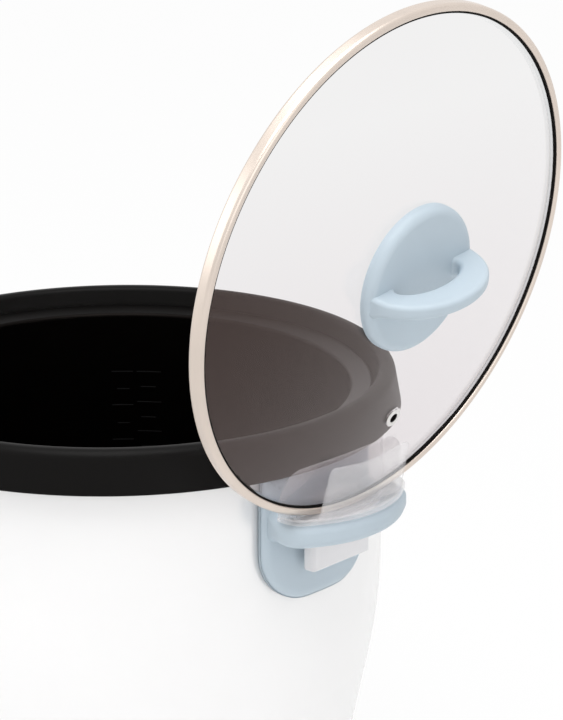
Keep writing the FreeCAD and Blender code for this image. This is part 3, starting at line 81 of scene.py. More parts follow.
# Middle of the standing rim's plane, x and z, and the radius at which the dome ends, in millimetres
LID_X, LID_Z = 177.8, 323.0
DOME_END = 123.4

# Linear colours of small parts
LEVEL_PRINT = (0.009, 0.009, 0.009)
FOOT_RUBBER = (0.03, 0.03, 0.03)
# Dark rubber of the gasket, also used as painted shade in the vent's bore
GASKET_RUBBER_AND_BORE_SHADE = (0.006, 0.0055, 0.005)
WASHER_RUBBER = (0.62, 0.62, 0.60)
VENT_PLASTIC = (0.74, 0.72, 0.70)
DARK_PLASTIC = (0.03, 0.03, 0.03)
LEAD_COVER = (0.80, 0.79, 0.75)
AMBER = (0.82, 0.33, 0.06)
BULB_GLASS = (0.9, 0.86, 0.8)
BRASS = (0.70, 0.54, 0.28)
CAST_PLATE = (0.66, 0.66, 0.66)


def length(name, description, millimetres):
    """A length setting, given here in millimetres and kept in metres."""
    return FloatProperty(
        name=name, description=description, default=millimetres * MM, unit="LENGTH", precision=4)


def colour(name, description, red, green, blue):
    """A linear colour setting."""
    return FloatVectorProperty(
        name=name, description=description, default=(red, green, blue), subtype="COLOR", min=0, max=1)


def turn(name, description, degrees):
    """An angle setting, given here in degrees."""
    return FloatProperty(
        name=name, description=description, default=math.radians(degrees), subtype="ANGLE")


class CookerPot(bpy.types.PropertyGroup):
    """Sizes of the pot, its level lines and the collar round it."""

    radius: length("Inside radius", "Radius inside the pot's wall", 117.5)
    wall: length("Wall", "Thickness of the pot's wall", 2.0)
    bottom: length("Bottom", "Height of the pot's underside above the table", 70.2)
    flange: length("Flange radius", "Outer radius of the pot's flange", 128.2)
    crest: length("Collar crest", "Height of the collar's top", 240.0)
    skirt: length("Collar skirt", "Outer radius of the collar's lower edge", 143.0)
    line_thickness: length("Line thickness", "Height of a level line's stroke", 0.55)


class CookerHandle(bpy.types.PropertyGroup):
    """Sizes of the two side handles."""

    barrel: length("Barrel radius", "Radius of the barrel that the plate lies on", 134.0)
    plate: length("Plate thickness", "How far the plate stands off the barrel", 6.2)
    half_width: length("Plate half width", "Half of the plate's width", 38.0)
    bottom: length("Plate bottom", "Height of the plate's lower edge", 152.9)
    top: length("Plate top", "Height of the plate's upper edge", 220.5)
    middle: length("Loop height", "Height of the middle of the loop's bar", 194.9)
    bar: length("Loop bar", "Depth of the loop's bar", 10.0)
    bar_height: length("Loop bar height", "Height of the loop's bar", 11.8)
    blend: length("Root blend", "Size of the soft fillet where the loop meets the plate", 3.0)


class CookerHolder(bpy.types.PropertyGroup):
    """Sizes of the clear cup that holds the lid."""

    wall: length("Wall", "Thickness of the clear walls", 1.5)
    floor: length("Tray floor", "Height of the tray's underside", 201.0)
    tub: length("Tub bottom", "Height of the underside of the tub sunk in the loop's opening", 198.8)
    well: length("Reservoir bottom", "Height of the underside of the reservoir", 171.0)
    lip: length("Lip top", "Height of the tray's lip", 203.9)
    back_rest: length("Back rest top", "Height of the rest behind the lid", 227.0)
    front_rest: length("Front rest top", "Height of the rest in front of the lid", 229.5)


class CookerLid(bpy.types.PropertyGroup):
    """Sizes and place of the lid."""

    radius: length("Radius", "Outer radius of the steel rim", 125.0)
    dome: length("Dome", "Rise of the glass above the rim's plane", 15.5)
    edge: length("Glass edge", "Depth of the glass's edge below the rim's plane", 2.2)
    glass: length("Glass", "Thickness of the glass", 2.8)
    vent: length("Vent radius", "Distance of the steam vent from the lid's axis", 78.4)
    knob: length("Knob radius", "Radius of the knob's plate", 35.6)
    knob_face: length("Knob face", "Height of the knob's plate above the rim's plane", 20.5)
    lean: turn("Lean", "How far the lid leans outwards", 10.8)
    spin: turn("Turn", "How far the lid is turned in its own plane", 8.5)


class CookerFinish(bpy.types.PropertyGroup):
    """Colours of the finishes."""

    enamel: colour("Enamel", "Barrel", 0.92, 0.915, 0.915)
    collar: colour("Collar", "Black moulded collar", 0.0045, 0.0041, 0.0039)
    coating: colour("Pot coating", "Non-stick coating", 0.0042, 0.0034, 0.0031)
    blue: colour("Blue plastic", "Handles, knob and panel", 0.475, 0.555, 0.617)
    clear: colour("Clear plastic", "Lid holder", 0.955, 0.945, 0.96)
    glass: colour("Glass", "Lid", 0.895, 0.89, 0.89)
    # Painted reflection: the warm tan of the rim stands for warm surroundings mirrored in the steel
    rim: colour("Rim", "Polished steel of the lid's rim", 0.72, 0.63, 0.56)
    steel: colour("Steel", "Screws and pressed parts", 0.56, 0.56, 0.56)
    floor: colour("Floor", "Pale floor", 0.86, 0.86, 0.86)


def rounded(corners, closed=True, steps=6):
    """Line through corners (u, v, radius).

    Each radius becomes the arc that touches both runs, cut into equal turns.
    """
    spots = np.array([corner[:2] for corner in corners], float)
    last = len(corners) - 1
    line = []
    for i, (_, _, radius) in enumerate(corners):
        if radius == 0 or (not closed and i in (0, last)):
            line.append(spots[i][None])
            continue
        back = spots[i - 1] - spots[i]
        ahead = spots[(i + 1) % len(spots)] - spots[i]
        back = back / np.linalg.norm(back)
        ahead = ahead / np.linalg.norm(ahead)
        half = math.acos(np.clip(back @ ahead, -1, 1)) / 2
        bisector = (back + ahead) / np.linalg.norm(back + ahead)
        middle = spots[i] + bisector * radius / math.sin(half)
        arms = spots[i] + np.stack([back, ahead]) * radius / math.tan(half) - middle
        sweep = math.pi - 2 * half
        t = np.linspace(0, sweep, steps + 1)[:, None]
        line.append(middle + (np.sin(sweep - t) * arms[0] + np.sin(t) * arms[1]) / math.sin(sweep))
    return np.concatenate(line)


def held(line, hold, closed=True):
    """Adds a point at the distance hold from each end of every run longer than four holds.

    Smooth shading then leaves the run flat.
    """
    following = np.roll(line, -1, axis=0)
    run = np.linalg.norm(following - line, axis=1, keepdims=True)
    step = (following - line) / np.maximum(run, 1e-9) * hold
    triple = np.stack([line, line + step, following - step], axis=1)
    keep = np.repeat(run > 4 * hold, 3, axis=1)
    keep[:, 0] = True
    if not closed:
        keep[-1, 1:] = False
    return triple[keep]


def evenly(line, count, closed=True):
    """The same line as a number of points at equal distances along it."""
    ends = np.concatenate([line, line[:1]]) if closed else line
    along = np.concatenate([[0], np.cumsum(np.linalg.norm(np.diff(ends, axis=0), axis=1))])
    spots = np.linspace(0, along[-1], count, endpoint=not closed)
    return np.stack([np.interp(spots, along, ends[:, k]) for k in range(ends.shape[1])], axis=1)


def outward(outline):
    """Unit normals of a closed counter-clockwise outline.

    Each is the step between a point's two neighbours, turned a quarter to the right.
    """
    tangent = np.roll(outline, -1, axis=0) - np.roll(outline, 1, axis=0)
    normal = np.stack([tangent[:, 1], -tangent[:, 0]], axis=1)
    return normal / np.linalg.norm(normal, axis=1, keepdims=True)


def turned(profile, turns=TURNS):
    """Profile points (radius, height) carried round Z: x = r cos a, y = r sin a, z = height."""
    angle = np.linspace(0, 2 * np.pi, turns, endpoint=False)
    radius, height = profile[:, 0, None], profile[:, 1, None]
    axes = np.broadcast_arrays(radius * np.cos(angle), radius * np.sin(angle), height)
    return np.stack(axes, axis=-1)


def swept(path, across, up, sections):
    """Section points (a, b) carried along a path: point = path + a times across + b times up.

    Both ends close in a point on the path.
    """
    rows = path[:, None] + sections[..., :1] * across[:, None] + sections[..., 1:] * up
    first = np.repeat(path[:1, None], rows.shape[1], axis=1)
    last = np.repeat(path[-1:, None], rows.shape[1], axis=1)
    return np.concatenate([first, rows, last])


def slab(outline, thickness, edge, fill):
    """Rings (u, v, height) of a plate, from the middle of its face to the middle of its back.

    On both faces the rings grow from the middle by the shares in fill. At each edge they follow
    a quarter circle.
    """
    quarter = np.linspace(0, np.pi / 2, 6)
    drawn_in = edge * (1 - np.sin(quarter))
    drop = edge * (1 - np.cos(quarter))
    insets = np.concatenate([drawn_in, drawn_in[::-1]])
    heights = np.concatenate([thickness - drop, drop[::-1]])
    rim = outline[None] - insets[:, None, None] * outward(outline)[None]
    middle = outline.mean(axis=0)
    scale = fill[:, None, None]
    face = middle + (rim[:1] - middle) * scale
    back = middle + (rim[-1:] - middle) * scale[::-1]
    flat = np.concatenate([face, rim, back])
    level = np.concatenate([np.full(len(fill), thickness), heights, np.zeros(len(fill))])
    return np.concatenate(
        [flat, np.broadcast_to(level[:, None, None], flat.shape[:2] + (1,))], axis=2)


def quads(rows, columns, wrap_rows, wrap_columns):
    """Corner numbers of every cell of a grid, wrapped round where asked."""
    row = np.arange(rows if wrap_rows else rows - 1)[:, None]
    column = np.arange(columns if wrap_columns else columns - 1)[None]
    here, below = row * columns, (row + 1) % rows * columns
    right = (column + 1) % columns
    cells = np.broadcast_arrays(here + column, here + right, below + right, below + column)
    return np.stack(cells, axis=-1)


def piece(name, grids, finish, body, stands_for=(), skip=None, closed=True, sharp=None):
    """Makes one mesh of grids, closes its seams and poles, and lets it ride on a body.

    A grid comes as its points in millimetres, whether its rows wrap and whether its columns wrap.
    Cells in skip are left out. A closed shape has its faces turned outwards. Edges past the angle
    sharp, in degrees, stay sharp.
    """
    points, faces, start = [], [], 0
    for grid, wrap_rows, wrap_columns in grids:
        cells = quads(grid.shape[0], grid.shape[1], wrap_rows, wrap_columns)
        if skip is not None:
            cells = cells[~skip]
        points.append(grid.reshape(-1, 3))
        faces.append(cells.reshape(-1, 4) + start)
        start += grid.shape[0] * grid.shape[1]
    mesh = bpy.data.meshes.new(name)
    mesh.from_pydata((np.concatenate(points) * MM).tolist(), [], np.concatenate(faces).tolist())
    shell = bmesh.new()
    shell.from_mesh(mesh)
    bmesh.ops.remove_doubles(shell, verts=shell.verts, dist=SEAM)
    bmesh.ops.dissolve_degenerate(shell, edges=shell.edges, dist=SLIVER)
    if closed:
        bmesh.ops.recalc_face_normals(shell, faces=shell.faces)
    shell.to_mesh(mesh)
    shell.free()
    mesh.shade_smooth()
    if sharp is not None:
        mesh.set_sharp_from_angle(angle=math.radians(sharp))
    mesh.materials.append(finish)
    made = bpy.data.objects.new(name, mesh)
    bpy.context.scene.collection.objects.link(made)
    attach(made, body)
    if stands_for:
        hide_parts(*stands_for)
    return made


def named_finish(name):
    """The finish of a name, made where it is new: its material, node tree and main shader."""
    material = bpy.data.materials.get(name) or bpy.data.materials.new(name)
    material.use_nodes = True
    return material, material.node_tree, material.node_tree.nodes["Principled BSDF"]


def set_sockets(node, values):
    """Sets a node's sockets by their names."""
    for socket, value in values.items():
        node.inputs[socket].default_value = value


def noise(tree, scale, detail):
    """Noise on the piece's own coordinates."""
    place = tree.nodes.new("ShaderNodeTexCoord")
    texture = tree.nodes.new("ShaderNodeTexNoise")
    set_sockets(texture, {"Scale": scale, "Detail": detail})
    tree.links.new(place.outputs["Object"], texture.inputs["Vector"])
    return texture.outputs["Fac"]


def ranged(tree, value, at_low, at_high, low=0.0, high=1.0):
    """A value that goes from one to another while its source goes from low to high."""
    spread = tree.nodes.new("ShaderNodeMapRange")
    set_sockets(spread, {"From Min": low, "From Max": high, "To Min": at_low, "To Max": at_high})
    tree.links.new(value, spread.inputs["Value"])
    return spread.outputs["Result"]


def by_height(tree, low, high, at_low, at_high):
    """A value that goes from one to another between two heights, given in millimetres."""
    place = tree.nodes.new("ShaderNodeTexCoord")
    axes = tree.nodes.new("ShaderNodeSeparateXYZ")
    tree.links.new(place.outputs["Object"], axes.inputs["Vector"])
    return ranged(tree, axes.outputs["Z"], at_low, at_high, low * MM, high * MM)


def tint(tree, shader, pattern, dark, light, low=0.3, high=0.7):
    """Base colour between two tones by a pattern."""
    ramp = tree.nodes.new("ShaderNodeValToRGB")
    for stop, position, tone in zip(ramp.color_ramp.elements, (low, high), (dark, light)):
        stop.position = position
        stop.color = (*tone, 1)
    tree.links.new(pattern, ramp.inputs["Fac"])
    tree.links.new(ramp.outputs["Color"], shader.inputs["Base Color"])


def relief(tree, shader, pattern, strength, depth):
    """Bump from a pattern, its depth in millimetres."""
    bump = tree.nodes.new("ShaderNodeBump")
    set_sockets(bump, {"Strength": strength, "Distance": depth * MM})
    tree.links.new(pattern, bump.inputs["Height"])
    tree.links.new(bump.outputs["Normal"], shader.inputs["Normal"])


def toned(base, amount):
    """A colour made lighter or darker."""
    return [min(1.0, value * amount) for value in base]


def patterned(name, base, tones, flow, gloss, sockets, bump=None, ramp=(0.3, 0.7)):
    """Finish whose tone, roughness and relief each follow a noise of their own.

    tones: the darkest and the lightest tone as shares of the base colour
    flow: scale and detail of the tone's noise, which ramp cuts off at both ends
    gloss: scale and detail of the roughness's noise, then the roughness at 0 and at 1
    sockets: the shader's other values, the same all over
    bump: scale and detail of the relief's noise, then its strength and its depth in millimetres
    """
    material, tree, shader = named_finish(name)
    dark, light = tones
    tint(tree, shader, noise(tree, *flow), toned(base, dark), toned(base, light), *ramp)
    roughness = ranged(tree, noise(tree, *gloss[:2]), *gloss[2:])
    tree.links.new(roughness, shader.inputs["Roughness"])
    if bump:
        relief(tree, shader, noise(tree, *bump[:2]), *bump[2:])
    set_sockets(shader, sockets)
    return material


def moulded(name, base, rough, specular, depth=0.02):
    """Moulded plastic: faint flow in the colour and a fine spark-eroded grain."""
    return patterned(
        name, base, tones=(0.975, 1.025), flow=(22, 3),
        gloss=(60, 3, rough - 0.05, rough + 0.05), bump=(1600, 1, 0.25, depth),
        sockets={"Specular IOR Level": specular})


def enamelled(name, base):
    """Baked enamel on sheet: a faint wave in the tone and orange peel under the gloss.

    The roughness stays below 0.274, because denoising draws outlines where it crosses that.
    """
    return patterned(
        name, base, tones=(0.99, 1.01), flow=(9, 2), gloss=(40, 3, 0.22, 0.27),
        bump=(420, 2, 0.06, 0.05), sockets={"Specular IOR Level": 0.4})


def coated(name, base):
    """Non-stick coating: near-black with fine pale flecks and a soft sheen."""
    return patterned(
        name, base, tones=(1.0, 1.25), flow=(1500, 3), ramp=(0.62, 0.8),
        gloss=(90, 3, 0.36, 0.42), sockets={"Specular IOR Level": 0.16})


def metal(name, base, low, high, scale=60, depth=0.02):
    """Bare metal: an uneven tone and polish, and fine marks."""
    return patterned(
        name, base, tones=(0.94, 1.06), flow=(scale, 3), gloss=(scale * 2, 4, low, high),
        bump=(scale * 5, 3, 0.15, depth), sockets={"Metallic": 1.0})


def faced(name, base):
    """Cast plate turned on a lathe: rings about the vertical axis over a casting's grain."""
    material = patterned(
        name, base, tones=(0.9, 1.06), flow=(70, 4), gloss=(120, 3, 0.34, 0.5),
        sockets={"Metallic": 1.0})
    _, tree, shader = named_finish(name)
    place = tree.nodes.new("ShaderNodeTexCoord")
    rings = tree.nodes.new("ShaderNodeTexWave")
    rings.wave_type = "RINGS"
    rings.rings_direction = "Z"
    set_sockets(rings, {"Scale": 160, "Distortion": 0.6})
    tree.links.new(place.outputs["Object"], rings.inputs["Vector"])
    relief(tree, shader, rings.outputs["Fac"], strength=0.35, depth=0.12)
    return material


def rubbery(name, base, specular=0.3):
    """Matt rubber with a fine pitted skin."""
    return patterned(
        name, base, tones=(0.85, 1.15), flow=(150, 3), gloss=(200, 2, 0.7, 0.85),
        bump=(1400, 2, 0.3, 0.05), sockets={"Specular IOR Level": specular})


def tinted_lens(name, base):
    """Tinted see-through cover or bulb of a lamp."""
    return patterned(
        name, base, tones=(0.9, 1.1), flow=(300, 2), gloss=(200, 2, 0.06, 0.14),
        sockets={"Transmission Weight": 0.5})


def clear_plastic(name, base):
    """Clear moulded styrene: hazy in the reservoir, clearer towards the rests' tops.

    How much it hides is the sum of two hazes that fall with the height, and of a share that grows
    where a wall is seen edge on.
    """
    material = patterned(
        name, base, tones=(0.98, 1.02), flow=(35, 2), gloss=(80, 2, 0.02, 0.08),
        bump=(120, 1, 0.04, 0.1), sockets={
            "Transmission Weight": 0.2, "IOR": 1.3, "Coat Weight": 0.8, "Coat Roughness": 0.06})
    _, tree, shader = named_finish(name)
    edge_on = tree.nodes.new("ShaderNodeLayerWeight")
    edge_on.inputs["Blend"].default_value = 0.11
    haze = tree.nodes.new("ShaderNodeMath")
    tree.links.new(by_height(tree, 197, 201, at_low=0.55, at_high=0.0), haze.inputs[0])
    tree.links.new(by_height(tree, 205, 213, at_low=0.18, at_high=0.10), haze.inputs[1])
    body = tree.nodes.new("ShaderNodeMath")
    body.use_clamp = True
    tree.links.new(haze.outputs["Value"], body.inputs[0])
    tree.links.new(edge_on.outputs["Facing"], body.inputs[1])
    tree.links.new(body.outputs["Value"], shader.inputs["Alpha"])
    return material


def lid_glass_finish(name, base):
    """Tempered glass, smooth, deeper and warmer in tone towards the foot of the standing lid.

    Lamp light goes on through it, so that what stands behind isn't in full shade.
    """
    material, tree, shader = named_finish(name)
    foot_tone = (0.87, 0.83, 0.845)
    deep = [value * amount for value, amount in zip(base, foot_tone)]
    height = by_height(tree, 230, 400, at_low=0, at_high=1)
    tint(tree, shader, height, deep, base, low=0.0, high=1.0)
    set_sockets(shader, {
        "Roughness": 0.0, "Transmission Weight": 1.0, "IOR": 1.41,
        "Specular Tint": (1.0, 0.7, 0.62, 1.0)})
    path = tree.nodes.new("ShaderNodeLightPath")
    shade = ranged(tree, path.outputs["Is Shadow Ray"], at_low=1.0, at_high=0.25)
    tree.links.new(shade, shader.inputs["Alpha"])
    return material


def dress(finish, *nodes):
    """Gives CAD nodes a finish."""
    for node in nodes:
        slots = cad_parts[node].data.materials
        slots.clear()
        slots.append(finish)


class CookerPiece:
    """What every operator of this add-on shares."""

    bl_options = {"REGISTER", "UNDO"}


class COOKER_OT_barrel(CookerPiece, bpy.types.Operator):
    """Enamels the barrel, and finishes the base, its cover, its feet and the liner"""

    bl_idname = "cooker.barrel"
    bl_label = "Barrel and base"

    def execute(self, context):
        look = context.scene.cooker_finish
        sheet = metal("pressed_sheet", toned(look.steel, 1.1), low=0.3, high=0.45, scale=30)
        dress(enamelled("white_enamel", look.enamel), "outer_shell")
        dress(moulded("blue_plastic", look.blue, rough=0.46, specular=0.35), "base_ring")
        dress(sheet, "bottom_cover", "inner_chamber")
        dress(rubbery("foot_rubber", FOOT_RUBBER), "rubber_feet")
        return {"FINISHED"}


class COOKER_OT_collar(CookerPiece, bpy.types.Operator):
    """Turns the black collar round the top of the barrel"""

    bl_idname = "cooker.collar"
    bl_label = "Collar"

    def execute(self, context):
        pot, look = context.scene.cooker_pot, context.scene.cooker_finish
        crest, skirt = pot.crest / MM, pot.skirt / MM
        throat, sleeve, groove = 121.0, 123.6, 135.6
        foot, shelf, roof, hem = 214.0, 226.0, 237.0, 219.0
        seat_low, seat_edge, seat_high = 227.1, 129.0, 229.1
        step_edge, step_top = 129.6, 232.0
        crest_in, crest_out = 131.8, 139.3
        hem_in, roof_out = 140.6, 137.3
        profile = rounded([
            (throat, foot, 0.4),
            (throat, seat_low, 0.8),
            (seat_edge, seat_high, 0.6),
            (step_edge, step_top, 0.8),
            (crest_in, crest, 3.0),
            (crest_out, crest, 5.0),
            (skirt, hem, 1.1),
            (hem_in, hem, 0.5),
            (roof_out, roof, 0.3),
            (groove, roof, 0.3),
            (groove, shelf, 0.3),
            (sleeve, shelf, 0.3),
            (sleeve, foot, 0.4),
        ])
        finish = moulded("black_collar", look.collar, rough=0.42, specular=0.07, depth=0.004)
        piece("collar", [(turned(held(profile, hold=0.35)), True, True)], finish, "cooker",
              ["top_collar"])
        return {"FINISHED"}


class COOKER_OT_pot(CookerPiece, bpy.types.Operator):
    """Turns the coated pot and lays its level lines on the wall"""

    bl_idname = "cooker.pot"
    bl_label = "Inner pot"

    # Two rows of strokes: where long and short strokes start and end, in degrees, and their heights
    scale_lines = (
        ((130.9, 136.6), (131.9, 135.2),
         (196.3, 186.4, 177.2, 166.8, 157.3, 147.6, 138.0, 128.4)),
        ((123.4, 129.9), (124.9, 128.9),
         (196.3, 187.7, 179.0, 170.3, 162.2, 153.6, 145.0, 136.4)),
    )

    def level_line(self, span, height, wall, thickness):
        """A flat stroke on the wall: x = r cos a, y = r sin a, its four sides wrapped round it.

        Both ends close in their middle.
        """
        sunk, proud, points = 0.2, 0.08, 17
        angle = np.radians(np.linspace(span[0], span[1], points))
        radius = np.array([wall + sunk, wall + sunk, wall - proud, wall - proud])[:, None]
        z = height + np.array([-0.5, 0.5, 0.5, -0.5])[:, None] * thickness
        axes = np.broadcast_arrays(radius * np.cos(angle), radius * np.sin(angle), z)
        ring = np.stack(axes, axis=-1)
        ends = [ring[:, :1].mean(axis=0, keepdims=True), ring[:, -1:].mean(axis=0, keepdims=True)]
        first, last = (np.broadcast_to(end, (4, 1, 3)) for end in ends)
        return np.concatenate([first, ring, last], axis=1)

    def execute(self, context):
        pot, look = context.scene.cooker_pot, context.scene.cooker_finish
        radius, wall, bottom = pot.radius / MM, pot.wall / MM, pot.bottom / MM
        flange, thickness = pot.flange / MM, pot.line_thickness / MM
        inner_bend, outer_bend, flange_edge = 24, 26, 0.9
        neck, flange_low, flange_high, mouth = 227.1, 229.25, 231.4, 228.9
        profile = rounded([
            (0, bottom, 0),
            (radius + wall, bottom, outer_bend),
            (radius + wall, neck, 1.0),
            (flange, flange_low, flange_edge),
            (flange, flange_high, flange_edge),
            (radius, mouth, 2.0),
            (radius, bottom + wall, inner_bend),
            (0, bottom + wall, 0),
        ], closed=False, steps=10)
        piece("pot", [(turned(held(profile, hold=0.5, closed=False)), False, True)],
              coated("non_stick", look.coating), "pot", ["inner_pot"])
        lines = []
        for long, short, heights in self.scale_lines:
            for number, height in enumerate(heights):
                span = short if number % 2 else long
                lines.append((self.level_line(span, height, radius, thickness), True, False))
        print_finish = moulded("level_print", LEVEL_PRINT, rough=0.5, specular=0.2)
        piece("pot_level_lines", lines, print_finish, "pot", sharp=40)
        return {"FINISHED"}


def loop_line(inset):
    """Plan of the loop's D, which flares from its roots, moved inwards along its own normals."""
    line = rounded(LOOP_PLAN, closed=False, steps=32)
    line = evenly(line, LOOP_POINTS, closed=False)
    tangent = np.gradient(line, axis=0)
    normal = np.stack([tangent[:, 1], -tangent[:, 0]], axis=1)
    return line - normal / np.linalg.norm(normal, axis=1, keepdims=True) * inset


class COOKER_OT_handles(CookerPiece, bpy.types.Operator):
    """Shapes the two handles, each a plate on the barrel with a soft-edged loop"""

    bl_idname = "cooker.handles"
    bl_label = "Handles"

    def plate(self, handle):
        """Rounded outline (y, z) laid on the barrel.

        x is the root of the grown radius squared less y squared.
        """
        half, low, high = handle.half_width / MM, handle.bottom / MM, handle.top / MM
        heel, shoulder, gap = 27, 3, 0.03
        outline = evenly(rounded([
            (-half, low, heel),
            (half, low, heel),
            (half, high, shoulder),
            (-half, high, shoulder),
        ], steps=24), count=240)
        rings = slab(outline, handle.plate / MM, edge=4.0, fill=np.linspace(0, 0.95, 12))
        across, height, rise = rings[..., 0], rings[..., 1], rings[..., 2]
        radius = handle.barrel / MM + gap + rise
        return np.stack([np.sqrt(radius ** 2 - across ** 2), across, height], axis=-1)

    def loop(self, handle):
        """The D in plan with a rounded bar round it, which swells where it nears the plate.

        The swelling dies away with the distance from the plate, and leaves out the outer side.
        """
        bar, height = handle.bar / MM, handle.bar_height / MM
        root, fade, edge = 0.5, 3.6, 4.6
        line = loop_line(bar / 2)
        line = line[np.hypot(line[:, 0], line[:, 1]) > handle.barrel / MM + root]
        tangent = np.gradient(line, axis=0)
        tangent /= np.linalg.norm(tangent, axis=1, keepdims=True)
        across = np.stack([tangent[:, 1], -tangent[:, 0], np.zeros(len(line))], axis=1)
        path = np.column_stack([line, np.full(len(line), handle.middle / MM)])
        gap = np.hypot(line[:, 0], line[:, 1]) - (handle.barrel + handle.plate) / MM
        swell = handle.blend / MM * np.exp(-np.maximum(gap, 0) / fade)[:, None]
        deep, tall = bar / 2, height / 2
        section = rounded(
            [(-deep, -tall, edge), (deep, -tall, edge), (deep, tall, edge), (-deep, tall, edge)],
            steps=9)
        sideways = section[None, :, 0] + np.where(section[:, 0] > 0, 0.0, -1.0) * swell
        upwards = section[None, :, 1] + np.sign(section[:, 1]) * swell
        up = np.array([0.0, 0.0, 1.0])
        return swept(path, across, up, np.stack([sideways, upwards], axis=-1))

    def execute(self, context):
        handle = context.scene.cooker_handle
        finish = bpy.data.materials["blue_plastic"]
        half_turn = np.array([-1.0, -1.0, 1.0])
        right = [(self.plate(handle), False, True), (self.loop(handle), False, True)]
        left = [(grid * half_turn, rows, columns) for grid, rows, columns in right]
        piece("handle_with_holder", right, finish, "cooker", ["handle_right"])
        piece("handle_plain", left, finish, "cooker", ["handle_left"])
        return {"FINISHED"}


class COOKER_OT_holder(CookerPiece, bpy.types.Operator):
    """Moulds the clear cup with its tray and the two rests that hold the lid"""

    bl_idname = "cooker.holder"
    bl_label = "Lid holder"

    # Where the tray, the tub and the back rest start, and the reservoir's plan: x, y and rounding
    tray_back = 144.4
    tub_back = 145.2
    well_plan = (
        (143.6, 0, 0), (143.6, -20.5, 2), (151.0, -20.5, 2), (151.0, 20.5, 2), (143.6, 20.5, 2))
    well_middle = (147.1, 0.0)

    def outline(self, inset, back, count):
        """Closed plan: the loop's D moved inwards by an inset, cut off by a straight back."""
        line = loop_line(inset)
        line = line[line[:, 0] > back + 0.2]
        first, last = [[back, 0], [back, line[0, 1]]], [[back, line[-1, 1]]]
        return evenly(np.concatenate([first, line, last]), count)

    def well_and_tray(self, holder):
        """Rings from inside the reservoir, over tub and tray, round the lip and back to the bottom.

        A ring is an outline drawn in along its normals; between two outlines it slides from one to
        the other. The lip sinks into the tray's floor towards the back, by a smooth step.
        """
        count, wall, well_wall = 320, holder.wall / MM, 1.2
        under, lip = holder.floor / MM, holder.lip / MM
        tub, bottom = holder.tub / MM, holder.well / MM
        top, floor = under + wall, tub + wall
        bar, tray_gap, step, sink = 10.4, 0.6, 0.8, 4
        well_fillet, lip_fillet, tray_edge, well_edge, hold = 0.6, 0.4, 0.7, 1, 0.3
        well = evenly(rounded(self.well_plan), count)
        tray = self.outline(tray_gap, self.tray_back, count)
        tub_in = self.outline(bar + wall, self.tub_back + wall, count)
        tub_out = self.outline(bar, self.tub_back, count)
        ledge = self.outline(bar + wall - step, self.tub_back + wall, count)
        raised = np.clip((tray[:, 0] - self.tray_back) / sink, 0, 1)
        raised = raised * raised * (3 - 2 * raised)
        well_out = outward(well)
        tray_out = outward(tray) * raised[:, None]
        quarter = [(math.sin(a), math.cos(a)) for a in np.linspace(0, np.pi / 2, 5)]
        half_round = [(math.sin(a), math.cos(a)) for a in np.linspace(0, np.pi, 13)]
        half = wall / 2

        def level(plan, z):
            """A plan at one height."""
            return np.column_stack([plan, np.full(count, z)])

        def well_ring(inset, z):
            """The reservoir's outline drawn in by an inset."""
            return level(well - well_out * inset, z)

        def tray_ring(inset, z):
            """The tray's outline drawn in by an inset, its rise fading out towards the back."""
            height = np.where(z > top, top + (z - top) * raised, z)
            return np.column_stack([tray - tray_out * inset, height])

        def across(inner, outer):
            """Nine rings between two, by equal shares."""
            return [inner + (outer - inner) * t for t in np.linspace(0.04, 0.96, 9)]

        middle = np.broadcast_to(self.well_middle, (count, 2))
        rings = [level(middle, bottom + well_wall)]
        rings += [
            well_ring(well_wall + well_fillet - well_fillet * sine,
                      bottom + well_wall + well_fillet - well_fillet * cosine)
            for sine, cosine in quarter]
        rings += [well_ring(well_wall, floor)]
        rings += across(rings[-1], level(tub_in, floor))
        rings += [level(tub_in, z) for z in (floor, floor + hold, top - step)]
        rings += [level(ledge, z) for z in (top - step, top - hold, top)]
        rings += across(rings[-1], tray_ring(wall + lip_fillet, top))
        rings += [
            tray_ring(wall + lip_fillet - lip_fillet * sine, top + lip_fillet - lip_fillet * cosine)
            for sine, cosine in quarter]
        rings += [
            tray_ring(half + half * cosine, lip - half + half * sine)
            for sine, cosine in half_round]
        rings += [
            tray_ring(tray_edge - tray_edge * cosine, under + tray_edge - tray_edge * sine)
            for sine, cosine in quarter]
        rings += across(rings[-1], level(tub_out, under))
        rings += [level(tub_out, z) for z in (under, under - hold, tub + hold, tub)]
        rings += across(rings[-1], well_ring(0, tub))
        rings += [well_ring(0, tub), well_ring(0, tub - 0.4)]
        rings += [
            well_ring(well_edge - well_edge * cosine, bottom + well_edge - well_edge * sine)
            for sine, cosine in quarter]
        rings += [level(middle, bottom)]
        return np.stack(rings)

    def rest(self, holder, foot_half, half, foot_x, top_x, top, corner, dip):
        """Leaning plate: outline (y, z), with x growing by equal shares of the height."""
        wall = holder.wall / MM
        foot, dip_radius = holder.floor / MM + wall / 2, 90
        outline = evenly(rounded([
            (-foot_half, foot, 0),
            (foot_half, foot, 0),
            (half, top, corner),
            (0, top - dip, dip_radius),
            (-half, top, corner),
        ], steps=16), count=240)
        rings = slab(outline, wall, edge=0.6, fill=np.linspace(0, 0.95, 8))
        lean = (rings[..., 1] - foot) / (top - foot) * (top_x - foot_x)
        return np.stack([foot_x + lean + rings[..., 2], rings[..., 0], rings[..., 1]], axis=-1)

    def execute(self, context):
        holder, look = context.scene.cooker_holder, context.scene.cooker_finish
        rise = (holder.back_rest - holder.floor - holder.wall / 2) / MM
        lean = rise * math.tan(context.scene.cooker_lid.lean)
        back = self.rest(
            holder, foot_half=40.0, half=46.0, foot_x=self.tub_back, top_x=self.tub_back + lean,
            top=holder.back_rest / MM, corner=12.0, dip=1.0)
        front = self.rest(
            holder, foot_half=29.2, half=28.0, foot_x=160.9, top_x=167.5,
            top=holder.front_rest / MM, corner=3.0, dip=4.0)
        grids = [(grid, False, True) for grid in (self.well_and_tray(holder), back, front)]
        piece("lid_holder", grids, clear_plastic("clear_styrene", look.clear), "cup",
              ["drip_cup"], sharp=50)
        return {"FINISHED"}


